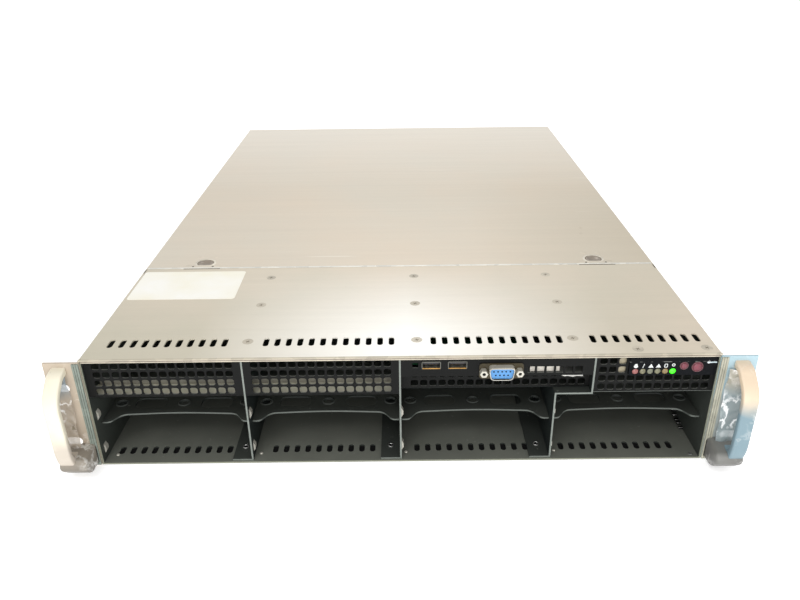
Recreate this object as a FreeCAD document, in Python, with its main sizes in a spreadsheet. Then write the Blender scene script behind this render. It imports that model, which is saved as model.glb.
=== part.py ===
"""A two-unit rack server with its drives out, as a parametric document of separate pieces.

Frame, in millimetres: X runs across the chassis from its middle, Y from the rack's mounting plane
towards the rear, and Z up from the underside. Run it as a FreeCAD macro: it writes parts/NODE.step.
"""
import FreeCAD, Part
import Sketcher
import math
import os
import re

# Driving dimensions. Each is one cell of the spreadsheet, in millimetres, degrees or a plain count.
SIZES = {
    # the sheet-metal shell
    "chassis_width": 437.0,
    "chassis_depth": 648.0,
    "chassis_height": 88.0,
    "tray_sheet": 1.2,
    "cover_sheet": 1.2,
    "cover_gap": 0.3,
    "cover_flange": 14.0,
    "front_lip": 4.0,
    "rear_lip": 3.4,
    "seam_from_front": 151.0,
    "seam_gap": 0.6,
    "cut_clearance": 1.0,
    # vent slots through the front cover and the floor
    "vent_width": 4.0,
    "vent_length": 11.5,
    "vent_pitch": 8.0,
    "vent_from_front": 23.0,
    "vent_corner": 1.2,
    "roof_vents_first": 13.1,
    "roof_vents_second": 14.2,
    "roof_vents_third": 23.6,
    "roof_vents_fourth": 27.5,
    "roof_vent_count_first": 11,
    "roof_vent_count_second": 12,
    "roof_vent_count_third": 12,
    "roof_vent_count_fourth": 10,
    "floor_vent_length": 8.5,
    "floor_vent_from_front": 14.5,
    "floor_vents_first": 8.9,
    "floor_vents_second": 14.9,
    "floor_vents_third": 11.9,
    "floor_vents_fourth": 10.6,
    "floor_vent_count_first": 11,
    "floor_vent_count_second": 10,
    "floor_vent_count_third": 11,
    "floor_vent_count_fourth": 11,
    # the drive cage: three dividers, four shelves, eight open bays
    "divider_sheet": 1.2,
    "cage_depth": 160.0,
    "divider_foot": 14.0,
    "divider_flange": 19.0,
    "flange_setback": 2.0,
    "foot_screw_behind_vents": 1.0,
    "foot_screw_from_back": 20.0,
    "jog_reach": 25.2,
    "shelf_sheet": 1.2,
    "shelf_top": 30.0,
    "shelf_setback": 21.5,
    "horn_setback": 10.5,
    "horn_width": 12.0,
    "scallop_radius": 5.0,
    "shelf_hole_radius": 3.75,
    "shelf_hole_pitch": 46.5,
    "shelf_hole_from_front": 34.0,
    "shelf_window_length": 23.0,
    "shelf_window_width": 13.0,
    "shelf_window_pitch": 49.4,
    "shelf_window_corner": 3.0,
    "shelf_hole_count": 3,
    "shelf_window_count": 2,
    "bay_roof": 57.0,
    "lug_length": 8.0,
    "lug_width": 4.0,
    "lug_rise": 1.4,
    "lug_from_front": 7.5,
    "lug_above_floor": 9.0,
    # perforated panels
    "grille_sheet": 1.0,
    "grille_hole": 5.1,
    "grille_pitch": 6.48,
    "grille_row_pitch": 6.77,
    "grille_first_row": 4.8,
    "grille_columns": 15,
    "grille_rows": 4,
    "grille_return": 18.0,
    "recess_setback": 7.0,
    "recess_rows": 2,
    "recess_columns": 19,
    "recess_first": 10.0,
    "side_grille_first": 5.0,
    "side_grille_columns": 12,
    "side_vent_columns": 3,
    "side_vent_rows": 2,
    # the port tray above the third column
    "port_tray_floor": 71.5,
    "port_tray_depth": 56.0,
    "small_window_first": 8.5,
    "small_window_side": 4.0,
    "tray_vent_past_flange": 5.0,
    "tray_vent_rise": 4.6,
    "tray_vent_columns": 6,
    "tray_vent_rows": 2,
    "io_board_first": 8.0,
    "io_board_from_back": 4.0,
    "io_post_first": 14.0,
    "io_post_behind_board": 6.0,
    "io_post_from_back": 8.0,
    "port_gap": 0.2,
    "usb_width": 13.1,
    "usb_height": 5.7,
    "usb_depth": 14.0,
    "usb_shell": 0.4,
    "usb_tongue": 1.8,
    "usb_tongue_setback": 1.0,
    "usb_back_wall": 2.0,
    "usb_first": 21.4,
    "usb_pitch": 17.9,
    "usb_above_tray": 8.9,
    "serial_place": 69.2,
    "serial_above_tray": 4.4,
    "serial_shell_width": 18.0,
    "serial_shell_height": 9.4,
    "serial_shell_wall": 0.6,
    "serial_shell_proud": 5.0,
    "serial_flange_width": 31.0,
    "serial_flange_height": 11.0,
    "serial_flange_sheet": 0.8,
    "serial_block_depth": 7.0,
    "serial_pin_radius": 0.5,
    "serial_pin_proud": 4.6,
    "serial_pin_pitch": 2.77,
    "serial_row_rise": 1.42,
    "serial_slant": 1.6,
    "serial_insert_proud": 0.5,
    "serial_insert_gap": 0.05,
    "jackscrew_spacing": 25.0,
    "jackscrew_radius": 2.4,
    "jackscrew_proud": 4.6,
    "jackscrew_bite": 0.5,
    "jackscrew_tail": 3.0,
    "board_thickness": 1.6,
    "standoff_radius": 2.0,
    # the control panel at the top right
    "panel_block_width": 59.0,
    "panel_block_height": 12.4,
    "panel_block_depth": 11.0,
    "panel_block_from_wall": 0.8,
    "led_radius": 2.2,
    "led_pitch": 5.1,
    "led_count": 6,
    "led_first": 4.4,
    "led_above_block": 3.1,
    "lens_gap": 0.05,
    "power_button_radius": 3.75,
    "power_button_place": 46.3,
    "power_button_above": 6.4,
    "reset_button_radius": 2.5,
    "reset_button_place": 37.1,
    "reset_button_above": 7.4,
    "button_gap": 0.15,
    "button_proud": 0.9,
    "button_travel": 0.8,
    "button_collar": 0.9,
    "button_collar_length": 1.0,
    "button_stop_gap": 0.2,
    "switch_side": 4.4,
    "switch_depth": 2.0,
    # mounting ears and pull handles
    "ear_sheet": 1.5,
    "ear_width": 24.3,
    "ear_bottom": 1.0,
    "ear_top": 87.0,
    "ear_leg": 62.0,
    "rack_hole_from_edge": 8.74,
    "rack_hole_rise": 44.45,
    "rack_hole_radius": 3.5,
    "rack_slot_length": 12.0,
    "rack_holes_middle": 44.45,
    "handle_width": 12.0,
    "handle_from_edge": 7.3,
    "handle_reach": 38.0,
    "handle_top": 84.0,
    "handle_strap": 5.0,
    "handle_lean": 3.0,
    "handle_chin_growth": 1.5,
    "handle_belly": 56.0,
    "handle_chin_reach": 27.0,
    "handle_chin": 17.0,
    "handle_foot_bottom": 5.0,
    "handle_foot_top": 17.0,
    "handle_shoulder_radius": 24.0,
    "handle_belly_radius": 30.0,
    "handle_chin_radius": 4.0,
    "handle_screw_radius": 1.6,
    "handle_screw_depth": 5.0,
    "handle_screw_head": 1.5,
    # screws and rivets
    "screw_radius": 1.5,
    "screw_head_radius": 3.2,
    "screw_length": 2.8,
    "screw_gap": 0.1,
    "screw_row_first": 24.0,
    "screw_row_second": 80.7,
    "screw_row_third": 131.0,
    "screw_past_divider": 1.1,
    "screw_past_middle": 12.0,
    "screw_before_jog": 11.5,
    "edge_screw_from_block": 6.8,
    "edge_screw_from_wall": 5.0,
    "edge_screw_behind_panel": 6.0,
    "rivet_head_radius": 2.6,
    "rivet_head_height": 1.0,
    # sliding rear cover and its two release buttons
    "release_from_middle": 169.0,
    "release_behind_seam": 12.0,
    "release_radius": 6.75,
    "release_gap": 0.3,
    "release_collar": 2.0,
    "release_collar_height": 1.0,
    "release_travel": 2.0,
    "release_stem": 3.0,
    "leaf_width": 14.0,
    "leaf_length": 22.0,
    "leaf_sheet": 0.6,
    "tongue_width": 28.0,
    "tongue_length": 9.0,
    "tongue_root": 2.5,
    # backplane and fans
    "backplane_margin": 2.0,
    "drive_plug_width": 42.0,
    "drive_plug_height": 6.5,
    "drive_plug_depth": 8.0,
    "drive_plug_above_floor": 4.0,
    "air_slot_above_floor": 14.0,
    "air_slot_height": 8.0,
    "air_slot_length": 72.0,
    "fan_wall_from_front": 204.0,
    "fan_wall_drop": 2.0,
    "fan_wall_foot": 12.0,
    "passage_from_bay": 2.0,
    "passage_from_wall": 4.0,
    "passage_above_foot": 6.0,
    "passage_below_top": 10.0,
    "fan_side": 80.0,
    "fan_depth": 38.0,
    "fan_bore_radius": 37.5,
    "fan_pitch": 105.0,
    "fan_hub_radius": 19.0,
    "fan_tip_gap": 1.0,
    "fan_blades": 7,
    "blade_thickness": 1.4,
    "blade_pitch": 56.0,
    "blade_share": 0.52,
    "shaft_radius": 2.0,
    "shaft_gap": 0.05,
    "fan_strut": 4.0,
    "bearing_wall": 4.0,
    "bearing_length": 8.0,
    "strut_bite": 1.0,
    "rotor_setback": 4.0,
    "shaft_end_gap": 1.0,
    "rotor_gap": 0.6,
    # main board, coolers and memory
    "main_board_width": 305.0,
    "main_board_depth": 330.0,
    "board_to_bay": 6.0,
    "main_board_lift": 6.5,
    "wall_to_board": 1.2,
    "cooler_side": 88.0,
    "cooler_height": 62.0,
    "cooler_base": 6.0,
    "cooler_fins": 14,
    "fin_thickness": 1.2,
    "cooler_spacing": 186.0,
    "cooler_from_front": 392.0,
    "memory_length": 133.0,
    "memory_height": 30.0,
    "memory_thickness": 3.0,
    "memory_pitch": 9.4,
    "memory_count": 5,
    "memory_socket_height": 7.0,
    "memory_socket_width": 6.4,
    "memory_ahead_of_cooler": 22.0,
    "memory_inset": 3.0,
    "card_socket_width": 7.0,
    "card_socket_height": 11.0,
    "card_socket_length": 88.0,
    "card_socket_from_back": 18.0,
    "card_socket_margin": 6.0,
    "standoff_margin": 8.0,
    "fin_bite": 1.0,
    "shroud_sheet": 1.5,
    "shroud_top": 83.0,
    "shroud_length": 280.0,
    "shroud_inset": 1.0,
    "shroud_behind_fans": 1.0,
    "shroud_behind_board": 2.0,
    # rear openings, port plate and card slots
    "port_plate_width": 158.75,
    "port_plate_height": 44.45,
    "port_plate_inset": 2.0,
    "port_plate_drop": 1.3,
    "video_place": 16.0,
    "console_place": 52.0,
    "wide_socket_width": 31.0,
    "wide_socket_height": 12.6,
    "network_first": 84.0,
    "network_pitch": 20.0,
    "network_width": 16.4,
    "network_height": 13.8,
    "network_mouth_width": 11.8,
    "network_mouth_height": 8.3,
    "network_mouth_rise": 2.5,
    "network_mouth_depth": 14.0,
    "usb_stack_place": 128.0,
    "usb_stack_width": 13.4,
    "usb_stack_height": 15.8,
    "socket_depth": 16.0,
    "slot_pitch": 20.32,
    "slot_count": 7,
    "slot_window": 12.7,
    "slot_window_height": 60.0,
    "slot_cover_width": 18.4,
    "slot_cover_sheet": 0.9,
    "slot_ledge": 78.0,
    "slot_window_drop": 4.0,
    "slot_cover_overlap": 3.0,
    "slots_from_plate": 6.0,
    "rear_vent_from_plate": 6.0,
    "rear_vent_above_plate": 8.0,
    "rear_vent_spread": 1.25,
    "rear_vent_columns": 18,
    "rear_vent_rows": 2,
    # hot-swap power supplies
    "psu_width": 60.0,
    "psu_height": 40.0,
    "psu_length": 318.0,
    "psu_proud": 2.0,
    "psu_gap": 0.4,
    "power_board_setback": 12.0,
    "power_board_margin": 1.0,
    "power_board_drop": 3.0,
    "psu_wall_drop": 1.0,
    "psu_wall_foot": 3.0,
    "psu_plug_inset": 12.0,
    "psu_plug_above_floor": 8.0,
    "psu_plug_height": 12.0,
    "psu_fan_radius": 12.5,
    "psu_fan_from_side": 15.5,
    "psu_fan_depth": 14.0,
    "psu_hub_radius": 5.0,
    "psu_fan_blades": 5,
    "psu_rotor_front_gap": 1.0,
    "psu_rotor_setback": 4.0,
    "psu_bearing_depth": 4.0,
    "psu_shaft_end_gap": 1.0,
    "inlet_width": 27.0,
    "inlet_height": 19.0,
    "inlet_depth": 16.0,
    "inlet_from_side": 2.0,
    "inlet_above_floor": 3.0,
    "inlet_rim": 1.5,
    "inlet_pin_count": 3,
    "inlet_pin_setback": 4.0,
    "inlet_pin_pitch": 7.0,
    "inlet_pin_rise": 3.5,
    "inlet_pin_width": 2.0,
    "inlet_pin_height": 4.0,
    "bail_width": 22.0,
    "bail_drop": 26.0,
    "bail_radius": 1.5,
    "bail_gap": 0.05,
    "bail_from_top": 4.0,
    "bail_hole_stop": 8.0,
    "eye_side": 5.0,
    "eye_sheet": 3.0,
    "latch_width": 12.0,
    "latch_barrel": 2.2,
    "latch_pin": 1.0,
    "latch_sheet": 1.6,
    "latch_reach": 12.0,
    "latch_above_inlet": 5.5,
    # rail studs on the side walls
    "stud_radius": 2.4,
    "stud_head_radius": 4.0,
    "stud_length": 3.2,
    "stud_head_length": 1.2,
    "stud_height": 38.0,
    "stud_first": 90.0,
    "stud_pitch": 240.0,
    "stud_count": 3,
}

# Lengths that follow from the driving dimensions. A name here may use any other name.
DERIVED = {
    "half": "chassis_width / 2",
    "wall_out": "half - cover_sheet - cover_gap",
    "wall_in": "wall_out - tray_sheet",
    "roof": "chassis_height - cover_sheet",
    "wall_top": "roof - cover_gap",
    "column": "wall_in / 2",
    "web": "divider_sheet / 2",
    "panel_front": "cover_sheet + cover_gap",
    "panel_back": "panel_front + grille_sheet",
    "flange_front": "panel_back + flange_setback",
    "jog": "column + jog_reach",
    "lip_bottom": "chassis_height - front_lip",
    "front_seam": "seam_from_front - seam_gap / 2",
    "rear_seam": "seam_from_front + seam_gap / 2",
    "rear_edge": "chassis_depth + cover_gap + cover_sheet",
    "rear_wall": "chassis_depth - tray_sheet",
    "side_vent_middle": "bay_roof + grille_first_row + recess_rows * grille_row_pitch",
    "block_right": "wall_in - panel_block_from_wall",
    "block_left": "block_right - panel_block_width",
    "block_top": "lip_bottom - cover_gap",
    "block_bottom": "block_top - panel_block_height",
    "block_front": "cover_gap",
    "block_back": "block_front + panel_block_depth",
    "switch_front": "block_back + button_collar_length + button_travel + 2 * button_stop_gap",
    "panel_board_front": "switch_front + switch_depth",
    "usb_middle": "port_tray_floor + usb_above_tray",
    "io_board_top": "usb_middle - usb_height / 2",
    "io_board_front": "panel_back + serial_block_depth",
    "serial_middle": "port_tray_floor + serial_above_tray",
    "ear_edge": "wall_out + ear_width",
    "handle_middle": "ear_edge - handle_from_edge",
    "rack_hole": "ear_edge - rack_hole_from_edge",
    "release_y": "seam_from_front + release_behind_seam",
    "leaf_stop": "wall_top - release_collar_height - release_stem - release_travel - release_gap",
    "leaf_bottom": "leaf_stop - leaf_sheet",
    "backplane_front": "cage_depth",
    "backplane_top": "leaf_bottom - 2 * release_gap",
    "fan_front": "fan_wall_from_front + tray_sheet",
    "fan_back": "fan_front + fan_depth",
    "fan_middle": "tray_sheet + fan_side / 2",
    "main_board_middle": "psu_wall - board_to_bay - main_board_width / 2",
    "board_left": "main_board_middle - main_board_width / 2",
    "board_right": "main_board_middle + main_board_width / 2",
    "board_back": "rear_wall - wall_to_board",
    "board_front": "board_back - main_board_depth",
    "board_bottom": "tray_sheet + main_board_lift",
    "board_top": "board_bottom + board_thickness",
    "port_plate_right": "board_right - port_plate_inset",
    "port_plate_left": "port_plate_right - port_plate_width",
    "port_plate_bottom": "board_top - port_plate_drop",
    "slots_right": "port_plate_left - slots_from_plate",
    "rear_vent_bottom": "port_plate_bottom + port_plate_height + rear_vent_above_plate",
    "psu_right": "wall_in - psu_gap",
    "psu_left": "psu_right - psu_width",
    "psu_wall": "psu_left - psu_gap",
    "psu_back": "chassis_depth + psu_proud",
    "psu_front": "psu_back - psu_length",
    "lower_psu": "tray_sheet + psu_gap",
    "psu_shelf": "lower_psu + psu_height + psu_gap",
    "upper_psu": "psu_shelf + tray_sheet + psu_gap",
    "psu_opening_top": "upper_psu + psu_height + psu_gap",
}

doc = FreeCAD.newDocument("rack_server")
sheet = doc.addObject("Spreadsheet::Sheet", "Sizes")
for row, (alias, number) in enumerate(SIZES.items(), 1):
    sheet.set(f"A{row}", alias)
    sheet.set(f"B{row}", str(number))
    sheet.setAlias(f"B{row}", alias)
doc.recompute()

pieces = []


def formula(text):
    """Return text with each derived length written out and each size pointed at its cell."""

    def swap(match):
        word = match[0]
        if word in DERIVED:
            return f"({formula(DERIVED[word])})"
        return f"Sizes.{word}" if word in SIZES else word

    return re.sub(r"[a-z_]+", swap, str(text))


def value(text):
    """Return the number that a formula comes to, for shapes made by a function."""
    return float(sheet.evalExpression(formula(text)))


def bind(thing, **formulas):
    """Drive properties by formulas. A double underscore in a key stands for a dot."""
    for key, text in formulas.items():
        thing.setExpression(key.replace("__", "."), formula(text))
    return thing


def put(thing, x, y, z):
    """Drive the position of a piece by formulas."""
    return bind(thing, Placement__Base__x=x, Placement__Base__y=y, Placement__Base__z=z)


def hand_over(label, thing):
    """Name a finished piece, so that it is checked and written out."""
    thing.Label = label
    pieces.append(thing)
    return thing


# --- primitives, booleans and groups ----------------------------------------------------------


def box(name, x, y, z):
    """A block between two planes on each axis, each pair given as (low, high)."""
    block = doc.addObject("Part::Box", name)
    lengths = [f"({high}) - ({low})" for low, high in (x, y, z)]
    bind(block, Length=lengths[0], Width=lengths[1], Height=lengths[2])
    return put(block, x[0], y[0], z[0])


FASTENER_SIDES = 12
HEX = 6
TURNS = {
    "X": FreeCAD.Rotation(FreeCAD.Vector(0, 1, 0), 90),
    "Y": FreeCAD.Rotation(FreeCAD.Vector(1, 0, 0), -90),
    "Z": FreeCAD.Rotation(),
}


def rod(name, axis, radius, start, length):
    """A cylinder from start along an axis."""
    round_bar = doc.addObject("Part::Cylinder", name)
    round_bar.Placement.Rotation = TURNS[axis]
    bind(round_bar, Radius=radius, Height=length)
    return put(round_bar, *start)


def prism(name, axis, radius, start, length, sides=FASTENER_SIDES):
    """A many-sided bar from start along an axis, for fasteners and posts."""
    bar = doc.addObject("Part::Prism", name)
    bar.Polygon = sides
    bar.Placement.Rotation = TURNS[axis]
    bind(bar, Circumradius=radius, Height=length)
    return put(bar, *start)


def taper(name, low_radius, high_radius, start, height):
    """A tapered prism that stands on start, along +Z, for a countersunk head and its seat."""
    ends = []
    for end, radius, rise in (("low", low_radius, "0"), ("high", high_radius, height)):
        ring = doc.addObject("Part::RegularPolygon", f"{name}_{end}")
        ring.Polygon = FASTENER_SIDES
        bind(ring, Circumradius=radius)
        ends.append(put(ring, start[0], start[1], f"{start[2]} + {rise}"))
    frustum = doc.addObject("Part::Loft", name)
    frustum.Sections = ends
    frustum.Solid = frustum.Ruled = True
    return frustum


def fuse(name, parts):
    """One solid out of several that touch or overlap."""
    joined = doc.addObject("Part::MultiFuse", name)
    joined.Shapes = parts
    joined.Refine = True
    return joined


def group(name, parts):
    """Separate solids that share one node."""
    together = doc.addObject("Part::Compound", name)
    together.Links = parts
    return together


def cut(name, base, tools):
    """The base less every tool."""
    removed = doc.addObject("Part::Cut", name)
    removed.Base = base
    removed.Tool = tools[0] if len(tools) == 1 else group(f"{name}_tools", tools)
    return removed


def mirror(name, source):
    """A copy of a piece on the other side of the chassis."""
    image = doc.addObject("Part::Mirroring", name)
    image.Source = source
    image.Normal = FreeCAD.Vector(1, 0, 0)
    return image


def made(name, shape, x="0", y="0", z="0"):
    """A piece whose shape a function works out about its own origin."""
    feature = doc.addObject("Part::Feature", name)
    feature.Shape = shape
    return put(feature, x, y, z)


# --- bodies: sketches, pads, pockets, patterns and fillets --------------------------------------


def rectangle(x, y):
    """The corners of a rectangle between two lines on each sketch axis."""
    return [(x[0], y[0]), (x[1], y[0]), (x[1], y[1]), (x[0], y[1])]


def slot_outline(x, y, wide, long, corner):
    """The eight corners of a slot about a middle, with its four corners cut off."""
    side, end = f"({wide}) / 2", f"({long}) / 2"
    return [
        (f"{x} + {side}", f"{y} - {end} + {corner}"),
        (f"{x} + {side}", f"{y} + {end} - {corner}"),
        (f"{x} + {side} - {corner}", f"{y} + {end}"),
        (f"{x} - {side} + {corner}", f"{y} + {end}"),
        (f"{x} - {side}", f"{y} + {end} - {corner}"),
        (f"{x} - {side}", f"{y} - {end} + {corner}"),
        (f"{x} - {side} + {corner}", f"{y} - {end}"),
        (f"{x} + {side} - {corner}", f"{y} - {end}"),
    ]


class Body:
    """A PartDesign body, built up feature by feature on its own origin planes."""

    def __init__(self, name):
        self.name = name
        self.body = doc.addObject("PartDesign::Body", name)
        self.body.AllowCompound = True

    def sketch(self, role, outlines=(), circles=(), at="0"):
        """Draw closed outlines and circles, each tied to the sheet, on a plane moved along its normal."""
        drawing = self.body.newObject("Sketcher::SketchObject", f"{self.name}_sketch")
        planes = self.body.Origin.OriginFeatures
        drawing.AttachmentSupport = [(next(p for p in planes if p.Role == role), "")]
        drawing.MapMode = "FlatFace"
        bind(drawing, AttachmentOffset__Base__z=at)
        for outline in outlines:
            spots = [FreeCAD.Vector(value(x), value(y), 0) for x, y in outline]
            first, sides = drawing.GeometryCount, len(spots)
            ends = zip(spots, spots[1:] + spots[:1])
            drawing.addGeometry([Part.LineSegment(start, end) for start, end in ends])
            for side in range(sides):
                here, there = first + side, first + (side + 1) % sides
                drawing.addConstraint(Sketcher.Constraint("Coincident", here, 2, there, 1))
                self.pin(drawing, here, 1, outline[side])
        for x, y, radius in circles:
            centre = FreeCAD.Vector(value(x), value(y), 0)
            normal = FreeCAD.Vector(0, 0, 1)
            ring = drawing.addGeometry(Part.Circle(centre, normal, value(radius)))
            self.pin(drawing, ring, 3, (x, y))
            limit = drawing.addConstraint(Sketcher.Constraint("Radius", ring, value(radius)))
            drawing.setExpression(f"Constraints[{limit}]", formula(radius))
        return drawing

    @staticmethod
    def pin(drawing, geometry, point, place):
        """Tie one point of a sketch to formulas for its two coordinates."""
        for kind, text in zip(("DistanceX", "DistanceY"), place):
            tie = Sketcher.Constraint(kind, -1, 1, geometry, point, value(text))
            drawing.setExpression(f"Constraints[{drawing.addConstraint(tie)}]", formula(text))

    def feature(self, kind, name, profile):
        """Add a feature to the body on a profile."""
        feature = self.body.newObject(kind, f"{self.name}_{name}")
        feature.Profile = profile
        return feature

    def pad(self, name, profile, length, backwards=False):
        """Raise a profile off its plane."""
        pad = self.feature("PartDesign::Pad", name, profile)
        pad.Reversed = backwards
        bind(pad, Length=length)
        doc.recompute()
        return pad

    def pocket(self, name, profile, both_ways=True, depth=None):
        """Cut a profile right through, both ways or only against its plane's normal, or to a depth."""
        pocket = self.feature("PartDesign::Pocket", name, profile)
        if depth:
            bind(pocket, Length=depth)
        else:
            pocket.Type = "ThroughAll"
            pocket.Midplane = both_ways
        doc.recompute()
        return pocket

    def rows(self, name, feature, count, pitch, second_count="1", second_pitch="1"):
        """Repeat a feature along its sketch's two axes."""
        pattern = self.body.newObject("PartDesign::LinearPattern", f"{self.name}_{name}")
        pattern.Originals = [feature]
        pattern.Direction = (feature.Profile[0], ["H_Axis"])
        pattern.Direction2 = (feature.Profile[0], ["V_Axis"])
        pattern.Mode = pattern.Mode2 = "Spacing"
        bind(pattern, Offset=pitch, Occurrences=count)
        bind(pattern, Offset2=second_pitch, Occurrences2=second_count)
        self.body.Tip = pattern
        doc.recompute()
        return pattern

    def fillet(self, name, radius, wanted):
        """Round every edge that a test picks out."""
        base = self.body.Tip
        edges = [f"Edge{n}" for n, edge in enumerate(base.Shape.Edges, 1) if wanted(edge)]
        fillet = self.body.newObject("PartDesign::Fillet", f"{self.name}_{name}")
        fillet.Base = (base, edges)
        bind(fillet, Radius=radius)
        doc.recompute()
        return fillet


def along(edge, axis):
    """Whether an edge is straight and runs along an axis."""
    ends = [vertex.Point for vertex in edge.Vertexes]
    if len(ends) != 2 or edge.Curve.TypeId != "Part::GeomLine":
        return False
    run = (ends[1] - ends[0]).normalize()
    return abs(abs(run.dot(axis)) - 1) < 1e-6


X_AXIS = FreeCAD.Vector(1, 0, 0)
Z_AXIS = FreeCAD.Vector(0, 0, 1)

# The left edge of each bay column, by its rank from the left.
COLUMNS = {"first": "-wall_in", "second": "-column", "third": "0", "fourth": "column"}


def vent_rows(body, place, length, kind):
    """Cut a row of slots into each bay column. The kind is roof or floor."""
    for rank, edge in COLUMNS.items():
        outline = slot_outline(f"{edge} + {kind}_vents_{rank}", place, "vent_width", length, "vent_corner")
        slot = body.pocket(f"vent_{rank}", body.sketch("XY_Plane", [outline]))
        body.rows(f"vents_{rank}", slot, f"{kind}_vent_count_{rank}", "vent_pitch")


# --- the shell ----------------------------------------------------------------------------------


def chassis_tray():
    """Floor, side walls and rear wall, folded from one sheet."""
    tray = Body("chassis_tray")
    trough = [
        ("-wall_out", "0"),
        ("wall_out", "0"),
        ("wall_out", "wall_top"),
        ("wall_in", "wall_top"),
        ("wall_in", "tray_sheet"),
        ("-wall_in", "tray_sheet"),
        ("-wall_in", "wall_top"),
        ("-wall_out", "wall_top"),
    ]
    tray.pad("trough", tray.sketch("XZ_Plane", [trough]), "chassis_depth", backwards=True)
    wall = rectangle(("-wall_in", "wall_in"), ("tray_sheet", "wall_top"))
    tray.pad("rear_wall", tray.sketch("XZ_Plane", [wall], at="-rear_wall"), "tray_sheet", backwards=True)
    behind = "-(rear_wall - cut_clearance)"
    openings = [
        rectangle(("psu_wall", "wall_in"), ("tray_sheet", "psu_opening_top")),
        rectangle(
            ("port_plate_left", "port_plate_right"),
            ("port_plate_bottom", "port_plate_bottom + port_plate_height"),
        ),
        rectangle(("slots_right - slot_count * slot_pitch", "slots_right"), ("slot_ledge", "wall_top")),
    ]
    tray.pocket("openings", tray.sketch("XZ_Plane", openings, at=behind), both_ways=False)
    last_slot = "slots_right - (slot_count - 0.5) * slot_pitch"
    card = rectangle(
        (f"{last_slot} - slot_window / 2", f"{last_slot} + slot_window / 2"),
        ("slot_ledge - slot_window_drop - slot_window_height", "slot_ledge - slot_window_drop"),
    )
    window = tray.pocket("card_slot", tray.sketch("XZ_Plane", [card], at=behind), both_ways=False)
    tray.rows("card_slots", window, "slot_count", "slot_pitch")
    hole = rectangle(
        ("port_plate_left + rear_vent_from_plate", "port_plate_left + rear_vent_from_plate + grille_hole"),
        ("rear_vent_bottom", "rear_vent_bottom + grille_hole"),
    )
    vent = tray.pocket("rear_vent", tray.sketch("XZ_Plane", [hole], at=behind), both_ways=False)
    across, up = "rear_vent_spread * grille_pitch", "rear_vent_spread * grille_row_pitch"
    tray.rows("rear_vents", vent, "rear_vent_columns", across, "rear_vent_rows", up)
    vent_rows(tray, "floor_vent_from_front", "floor_vent_length", "floor")
    return hand_over("chassis_tray", tray.body)


def cover_profile():
    """The cross-section of both covers: a top with a flange down each side."""
    return [
        ("-half", "chassis_height - cover_flange"),
        ("-half + cover_sheet", "chassis_height - cover_flange"),
        ("-half + cover_sheet", "roof"),
        ("half - cover_sheet", "roof"),
        ("half - cover_sheet", "chassis_height - cover_flange"),
        ("half", "chassis_height - cover_flange"),
        ("half", "chassis_height"),
        ("-half", "chassis_height"),
    ]


def cover_screws():
    """Where the countersunk screws of the front cover are, as (x, y)."""
    rows = ("screw_row_first", "screw_row_second", "screw_row_third")
    columns = ("-column + screw_past_divider", "screw_past_middle", "jog - screw_before_jog")
    spots = [(x, y) for y in rows for x in columns]
    spots.append(("block_left + edge_screw_from_block", "panel_back + edge_screw_behind_panel"))
    spots.append(("block_right - edge_screw_from_wall", "panel_back + edge_screw_behind_panel"))
    return spots


def front_cover():
    """The fixed front cover: vented, lipped and held by countersunk screws."""
    cover = Body("front_cover_sheet")
    profile = cover.sketch("XZ_Plane", [cover_profile()])
    cover.pad("top", profile, "front_seam", backwards=True)
    lip = rectangle(("-wall_in + cover_gap", "wall_in - cover_gap"), ("lip_bottom", "roof"))
    cover.pad("lip", cover.sketch("XZ_Plane", [lip]), "cover_sheet", backwards=True)
    vent_rows(cover, "vent_from_front", "vent_length", "roof")
    sinks = []
    screws = []
    for number, (x, y) in enumerate(cover_screws(), 1):
        sinks.append(screw(f"sink_{number}", x, y, "screw_gap"))
        screws.append(screw(f"cover_screw_{number}", x, y, "0"))
    hand_over("front_cover", cut("front_cover", cover.body, sinks))
    hand_over("front_cover_screws", group("front_cover_screws", screws))


def screw(name, x, y, gap):
    """A countersunk screw down through the roof; with a gap it is the hole for that screw."""
    narrow, wide = f"screw_radius + {gap}", f"screw_head_radius + {gap}"
    head = taper(f"{name}_head", narrow, wide, (x, y, "roof"), "cover_sheet")
    shank = prism(f"{name}_shank", "Z", narrow, (x, y, "roof - screw_length"), "screw_length")
    return fuse(name, [head, shank])


def flange_holes(name):
    """Clearance holes for the cover screws, as tools."""
    tools = []
    for number, (x, y) in enumerate(cover_screws(), 1):
        start = (x, y, "roof - screw_length")
        tools.append(prism(f"{name}_hole_{number}", "Z", "screw_radius + screw_gap", start, "screw_length"))
    return tools


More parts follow.
